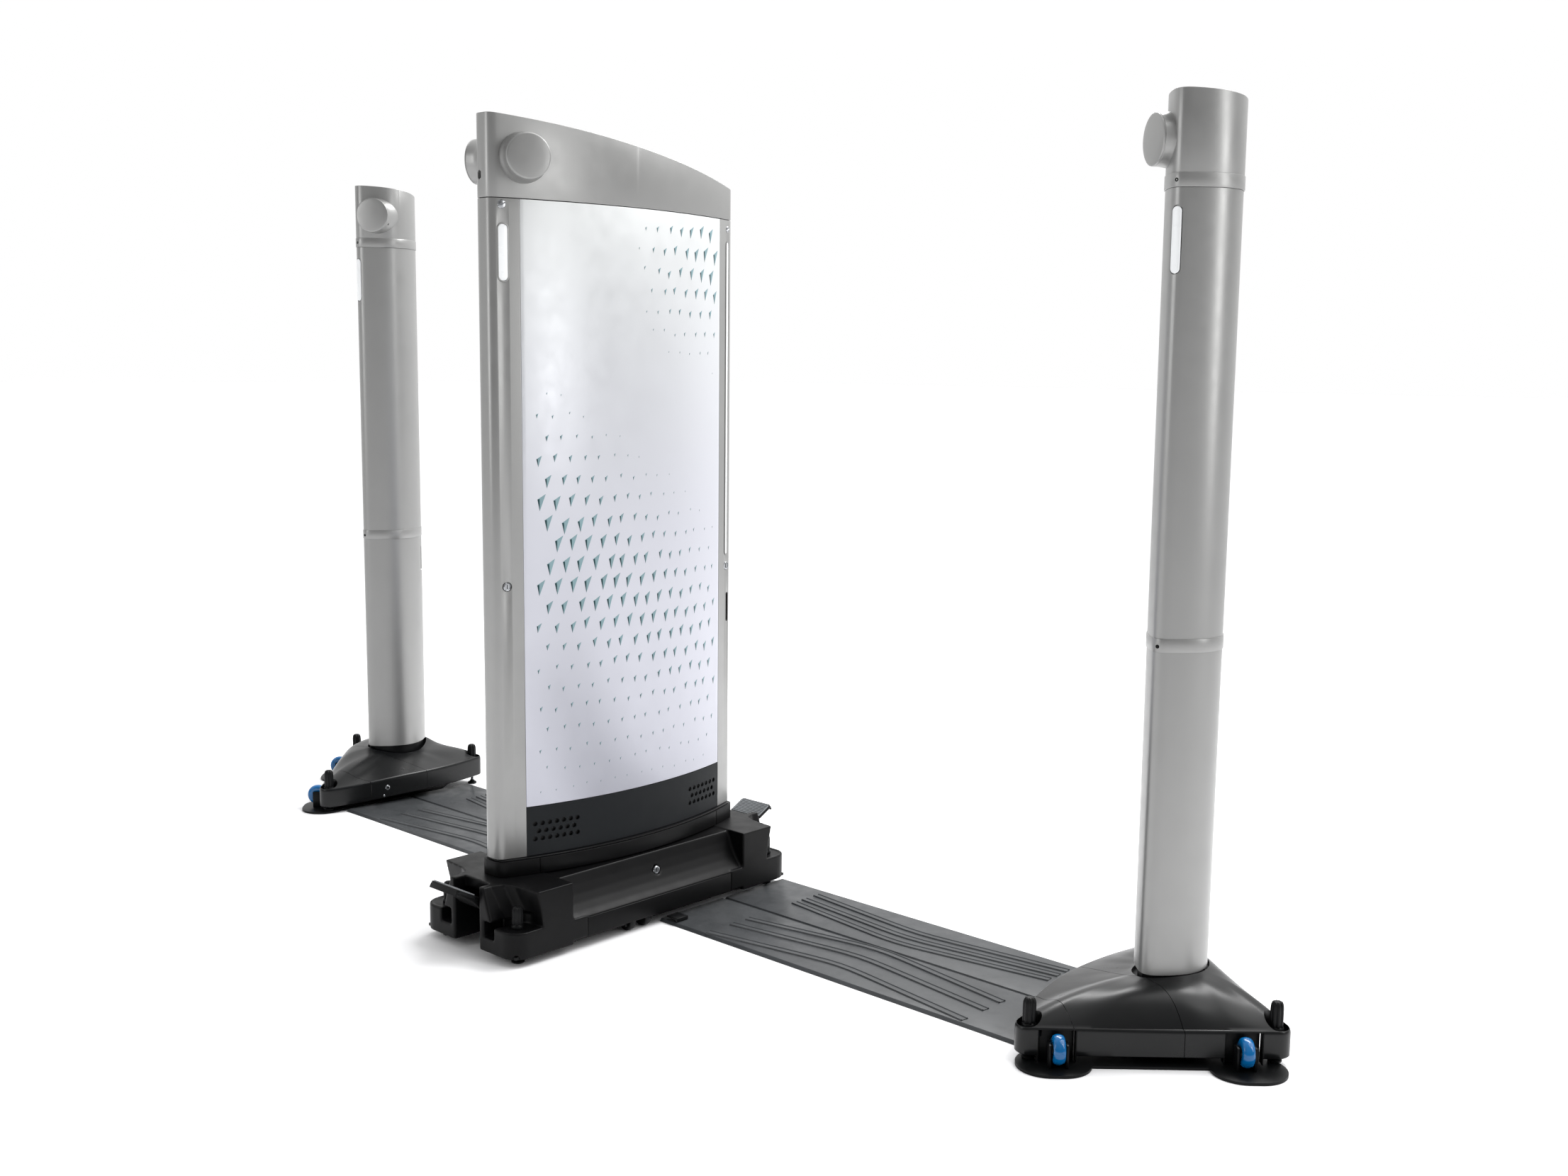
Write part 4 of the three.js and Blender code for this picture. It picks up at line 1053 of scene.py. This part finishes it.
def dome_skin():
    """The whole dome's outer surface, with its faces outwards."""
    ring_loop = lens_loop(COLUMN, RING_GAP)
    rings = list(zip(*(dome_line(edge, ring_loop) for edge in rim_outline())))
    bm = bmesh.new()
    made = [[bm.verts.new(point) for point in ring] for ring in rings]
    count = len(rings[0])
    for upper, lower in zip(made, made[1:]):
        for index in range(count):
            after = (index + 1) % count
            bm.faces.new((upper[index], lower[index], lower[after], upper[after]))
    return bm


def face_block(spot, half_along, inward, outward, low, high):
    """A block lined up with the wheeled face, around a spot."""
    made = extruded("block", rectangle(-half_along, half_along, -outward, inward), low, high)
    made.data.transform(Matrix.Translation((*spot, 0)) @ Matrix.Rotation(FACE_TURN, 4, "Z"))
    return made


def kept_side(bm, seam, keep_left):
    """Cuts a surface along an upright seam and keeps one side of it."""
    (x, y), heading = seam
    turn = math.radians(heading)
    left = Vector((-math.sin(turn), math.cos(turn), 0))
    keep = left if keep_left else -left
    everything = bm.verts[:] + bm.edges[:] + bm.faces[:]
    place = Vector((x, y, 0)) + keep * SEAM_GAP
    bmesh.ops.bisect_plane(bm, geom=everything, plane_co=place, plane_no=keep, clear_inner=True)


def dome_piece(name, sides, wheels, corners):
    """One cover of the dome: its share of the skin, made solid, with its wheel and knob openings."""
    bm = dome_skin()
    for seam, keep_left in sides:
        kept_side(bm, seam, keep_left)
    piece = object_of(name, bm, turn_out=False)
    thick = piece.modifiers.new("thick", "SOLIDIFY")
    thick.thickness = DOME_THICK
    thick.offset = -1
    applied(piece)
    for key in wheels:
        combined(piece, face_block(WHEEL_SPOTS[key], 0.041, 0.06, 0.09, -0.1, 0.0785))
    for key in corners:
        opening = shifted(circle(WELL["radius"], 40), *CORNERS[key])
        combined(piece, extruded("well", opening, WELL["floor"] + 0.004, 0.3))
    return piece


def make_wells(side_name, side, steps=48):
    """The round wells that the levelling knobs stand in, their walls meeting the dome's skin."""
    skin = dome_skin()
    tree = BVHTree.FromBMesh(skin)
    skin.free()
    inner, outer, hole = WELL["radius"], WELL["radius"] + WELL["wall"], WELL["hole"]
    under, floor = WELL["floor"], WELL["floor"] + WELL["base"]
    # Each ring's radius and level. A ring with no level lies just under the skin.
    section = ((outer, under), (outer, None), (inner, None), (inner, floor), (hole, floor), (hole, under))
    for key, (x, y) in CORNERS.items():
        bm = bmesh.new()
        rings = []
        for radius, level in section:
            ring = []
            for step in range(steps):
                turn = 2 * math.pi * step / steps
                spot = Vector((x + radius * math.cos(turn), y + radius * math.sin(turn), 0.4))
                hit = tree.ray_cast(spot, Vector((0, 0, -1)))[0]
                top = (hit.z if hit else 0.082) - 0.0006
                ring.append(bm.verts.new((spot.x, spot.y, top if level is None else level)))
            rings.append(ring)
        for here, after in zip(rings, rings[1:] + rings[:1]):
            for step in range(steps):
                ahead = (step + 1) % steps
                bm.faces.new((here[step], here[ahead], after[ahead], after[step]))
        dressed(placed(object_of(f"pylon_{side_name}_well_{key}", bm), side), "gloss_black")


def make_dome(side_name, side):
    """The nose, middle and rear covers."""
    shares = {
        "nose": (((NOSE_SEAM, False),), ("nose",), ("nose",)),
        "middle": (((NOSE_SEAM, True), (MIDDLE_SEAM, False)), ("nose",), ()),
        "rear": (((MIDDLE_SEAM, True),), ("outer",), ("outer", "rear")),
    }
    for part, share in shares.items():
        name = f"pylon_{side_name}_cover_{part}"
        dressed(placed(dome_piece(f"{name}_skin", *share), side), "gloss_black", replaces=[name], angle=38)
    make_wells(side_name, side)


def make_plate(side_name, side):
    """The black floor plate: two lobes joined by a web."""
    lobes = []
    for spot in PLATE_LOBES:
        disc = extruded("lobe", stadium(0.068, -0.081, 0.081, 36), 0.0, 0.0062)
        turn = Matrix.Rotation(FACE_TURN - math.pi / 2, 4, "Z")
        disc.data.transform(Matrix.Translation((*spot, 0)) @ turn)
        lobes.append(disc)
    plate = combined(*lobes, "UNION")
    combined(plate, extruded("web", PLATE_WEB, 0.0, 0.0061), "UNION")
    softened(plate, 0.0016, 3, 40)
    plate.name = f"pylon_{side_name}_floor_plate"
    dressed(placed(plate, side), "black_steel", replaces=[f"pylon_{side_name}_plate"])


def make_fork(side_name, side, key, spot):
    """The ears that hold a wheel's axle, the housing behind it and the cheeks beside its cut-out."""
    ear = WHEEL_HALF + 0.0055
    blocks = []
    # Along the face, half width, inward, outward, low, high, rounding and its segments.
    for along, half, inward, outward, low, high, width, segments in (
        (-ear, 0.0028, 0.016, 0.012, 0.005, WHEEL_Z + 0.013, 0.0012, 2),
        (ear, 0.0028, 0.016, 0.012, 0.005, WHEEL_Z + 0.013, 0.0012, 2),
        (0, 0.037, 0.040, -0.034, 0.005, 0.076, 0.003, 2),
        (-0.0402, 0.0014, 0.040, -0.0185, 0.008, 0.0775, 0.0006, 1),
        (0.0402, 0.0014, 0.040, -0.0185, 0.008, 0.0775, 0.0006, 1),
    ):
        block = face_block(spot + FACE_ALONG * along, half, inward, outward, low, high)
        blocks.append(softened(block, width, segments))
    dressed(placed(joined(f"pylon_{side_name}_fork_{key}", blocks), side), "black_steel")


def make_wheel(side_name, side, key, spot):
    """A blue caster: crowned glossy tyre on a dark hub with a bright axle."""
    name = f"pylon_{side_name}_wheel_{key}"
    place = facing((spot.x, spot.y, WHEEL_Z), (FACE_ALONG.x, FACE_ALONG.y, 0))
    half, inner = WHEEL_HALF, WHEEL_RADIUS - TYRE_ROUND
    flank = [(0, -half + 0.003), (0.0125, -half + 0.001), (inner, -half)]
    crown = []
    for step in range(1, 12):
        turn = math.pi * step / 12
        crown.append((inner + TYRE_ROUND * math.sin(turn) ** 0.8, -half * math.cos(turn)))
    other_flank = [(radius, -height) for radius, height in reversed(flank)]
    tyre = turned(f"{name}_tyre", flank + crown + other_flank, 64, place)
    dressed(placed(tyre, side), "wheel_blue", f"{name}_body", [name], angle=30)
    cap = doubled([
        (0, -half - 0.0045), (0.0035, -half - 0.0045), (0.004, -half - 0.004),
        (0.004, -half - 0.0015), (0.0115, -half - 0.0012), (0.0122, -half),
    ])
    dressed(placed(turned(f"{name}_hub", cap, 40, place), side), "black_grip", f"{name}_body", angle=30)


def column_band(name, side, grow, low, high, width, segments, slot):
    """A band with the column's outline, grown by a little or drawn in."""
    band = extruded(name, lens_loop(COLUMN, grow), low, high)
    softened(band, width, segments)
    dressed(placed(band, side), slot)


def pylon_roof_at(y):
    along = max(0.0, (y + COLUMN.chord) / (2 * COLUMN.chord))
    return PYLON_TOP - PYLON_DROP * along**1.3


def make_column(name, side):
    """The lower and upper tube with their bands and light, and the head on top."""
    lower = extruded(f"{name}_column_lower_tube", lens_loop(COLUMN), COLUMN_BOTTOM + 0.012, COLLAR[0] + 0.01)
    column_band(f"{name}_collar", side, 0.0022, *COLLAR, 0.0010, 2, "silver_paint")
    upper = extruded(f"{name}_column_upper_tube", lens_loop(COLUMN), COLLAR[1] - 0.01, COLUMN_TOP)
    make_recess(name, side, placed(lower, side))
    dressed(lower, "silver_paint", replaces=[f"{name}_column_lower"])
    half, low, high = PYLON_LIGHT
    front = -COLUMN.chord
    opening = stadium(half + 0.0012, low - 0.0012, high + 0.0012)
    combined(upper, extruded("slot", opening, -0.2, front + 0.005, "Y"))
    softened(upper, 0.0007, 1)
    dressed(placed(upper, side), "silver_paint", replaces=[f"{name}_column_upper"])
    pane = stadium(half - 0.0010, low + 0.001, high - 0.001)
    window = extruded(f"{name}_light_window", pane, front - JOINT, front + 0.004, "Y")
    softened(window, 0.001, 3)
    dressed(placed(window, side), "light_window", replaces=[f"{name}_light"])
    column_band(f"{name}_head_ring", side, 0.0028, COLUMN_TOP + 0.0006, 1.853, 0.0014, 2, "silver_paint")
    cap = extruded(f"{name}_head_cap", lens_loop(COLUMN, JOINT), 1.852, 2.1)
    roofed(cap, spread(-0.095, 0.095, 14), 1.9, pylon_roof_at)
    softened(cap, 0.003, 3, 40)
    dressed(placed(cap, side), "silver_paint", replaces=[f"{name}_head"], angle=40)


def make_recess(name, side, lower):
    """A finger recess in the lower column's rear flank, on the lane side, its floor filled with painted
    shade.
    """
    slot = shifted(stadium(0.006, 0.746, 0.830), -0.030)
    tool = extruded("recess", slot, 0.0, 0.2, "Y")
    combined(tool, extruded("solid", lens_loop(COLUMN, -0.006), 0.5, 1.2))
    combined(lower, placed(tool, side))
    # A dark fill on the recess's floor: painted shade.
    painted_shade = extruded(f"{name}_recess_painted_shade", slot, 0.02, 0.2, "Y")
    combined(painted_shade, extruded("solid", lens_loop(COLUMN, -0.0045), 0.5, 1.2), "INTERSECT")
    dressed(placed(painted_shade, side), None, finish="painted_hole_shade")


def make_pylon_screws(name, side):
    """Two socket screws up the column's front, and a bolt and a pin in the rim's lane side."""
    x, y, _ = PYLON_AT
    for level in (0.878, 1.838):
        at = (side * (x - 0.002), y - COLUMN.chord - 0.0024, level)
        screw_name = f"{name}_screw_{int(level * 1000)}"
        screw(screw_name, at, (0, -1, 0), 0.0042, slotted=False, slot="black_steel")
    rim = (("bolt", (-0.207, -0.178, 0.063), 0.0088), ("pin", (-0.209, -0.193, 0.038), 0.0042))
    for label, (along, back, z), radius in rim:
        at = (side * (x + along), y + back, z)
        screw(f"{name}_rim_{label}", at, (-side, -0.05, 0.05), radius, slotted=False)


def make_pylons():
    for side_name, side in SIDES:
        name = f"pylon_{side_name}"
        make_dome(side_name, side)
        make_column(name, side)
        camera_pod(f"{name}_pod", PYLON_POD, PYLON_POD_HEADING, PYLON_POD_FOOT, 0.030, [f"{name}_camera"],
                   PYLON_AT, side)
        make_pod_slot(name, side)
        make_plate(side_name, side)
        for key, spot in WHEEL_SPOTS.items():
            make_fork(side_name, side, key, spot)
        column_band(f"{name}_pedestal", side, -0.010, 0.006, 0.170, 0.001, 1, "black_steel")
        column_band(f"{name}_gasket", side, 0.011, 0.112, 0.122, 0.001, 1, "black_grip")
        make_pylon_screws(name, side)
        for key, (x, y) in CORNERS.items():
            levelling_foot(
                f"{name}_foot_{key}", (side * (PYLON_AT.x + x), PYLON_AT.y + y),
                radius=0.0145, top=0.139, low=0.074, bottom=0.0 if key == "rear" else 0.0064, pad=0.0150,
            )
        for key, spot in WHEEL_SPOTS.items():
            make_wheel(side_name, side, key, spot)


# ---------- studio ----------
BACKDROP = (-0.682, 0.731, 0.0)
ROOM_LEVEL, CEILING_LIFT = 0.2, 0.3
SUN_FROM, SUN_POWER, SUN_ANGLE = (0.5, 0.45, 1.0), 1.35, 50
# Each lamp's place, aim, size in metres and power in watts.
LAMPS = {
    "side_strip": ((4.6, 0.8, 2.4), (1.5, 0.2, 1.5), (0.5, 2.6), 34),
    "overhead": ((0.2, 2.6, 3.9), (0, 0.2, 0.6), (4.5, 1.1), 190),
    "front_fill": ((-1.6, -4.6, 2.6), (0, 0, 1.0), (1.2, 2.6), 40),
}


def make_world():
    """A soft studio: a white backdrop on one side that eases to a greyer room on the other."""
    world = bpy.data.worlds.new("studio")
    world.use_nodes = True
    tree = world.node_tree
    where = node(tree, "TexCoord").outputs["Generated"]
    towards = node(tree, "VectorMath", [(0, where)])
    towards.operation = "DOT_PRODUCT"
    towards.inputs[1].default_value = BACKDROP
    walls = mapped(tree, towards.outputs["Value"], -0.55, 0.62, ROOM_LEVEL, 1.0, "SMOOTHSTEP")
    height = node(tree, "SeparateXYZ", [("Vector", where)]).outputs["Z"]
    ceiling = mapped(tree, height, 0.15, 0.8, 0.0, CEILING_LIFT, "SMOOTHSTEP")
    total = node(tree, "Math", [(0, walls), (1, ceiling)])
    total.operation = "ADD"
    background = tree.nodes["Background"]
    background.inputs["Color"].default_value = (1, 1, 1, 1)
    tree.links.new(total.outputs["Value"], background.inputs["Strength"])
    bpy.context.scene.world = world


def make_lamps():
    """Three area lights, and a broad soft sun from high up behind the right."""
    for name, (at, aim, size, power) in LAMPS.items():
        data = bpy.data.lights.new(name, "AREA")
        data.shape = "RECTANGLE"
        data.size, data.size_y = size
        data.energy = power
        linked(name, data).matrix_world = facing(at, Vector(at) - Vector(aim))
    data = bpy.data.lights.new("sun", "SUN")
    data.energy = SUN_POWER
    data.angle = math.radians(SUN_ANGLE)
    linked("sun", data).matrix_world = facing((0, 0, 6), SUN_FROM)


def make_studio():
    floor = extruded("floor", rectangle(-90, 90, -90, 90), -0.02, -0.0002)
    floor.data.materials.append(MATERIALS["floor_white"])
    make_world()
    make_lamps()
    bpy.context.scene.view_settings.view_transform = "Standard"


make_camera()
make_tower()
make_plinth()
make_base()
make_mats()
make_pylons()
make_studio()

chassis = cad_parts["tower_chassis"]
chassis.data.materials.clear()
chassis.data.materials.append(MATERIALS["black_steel"])
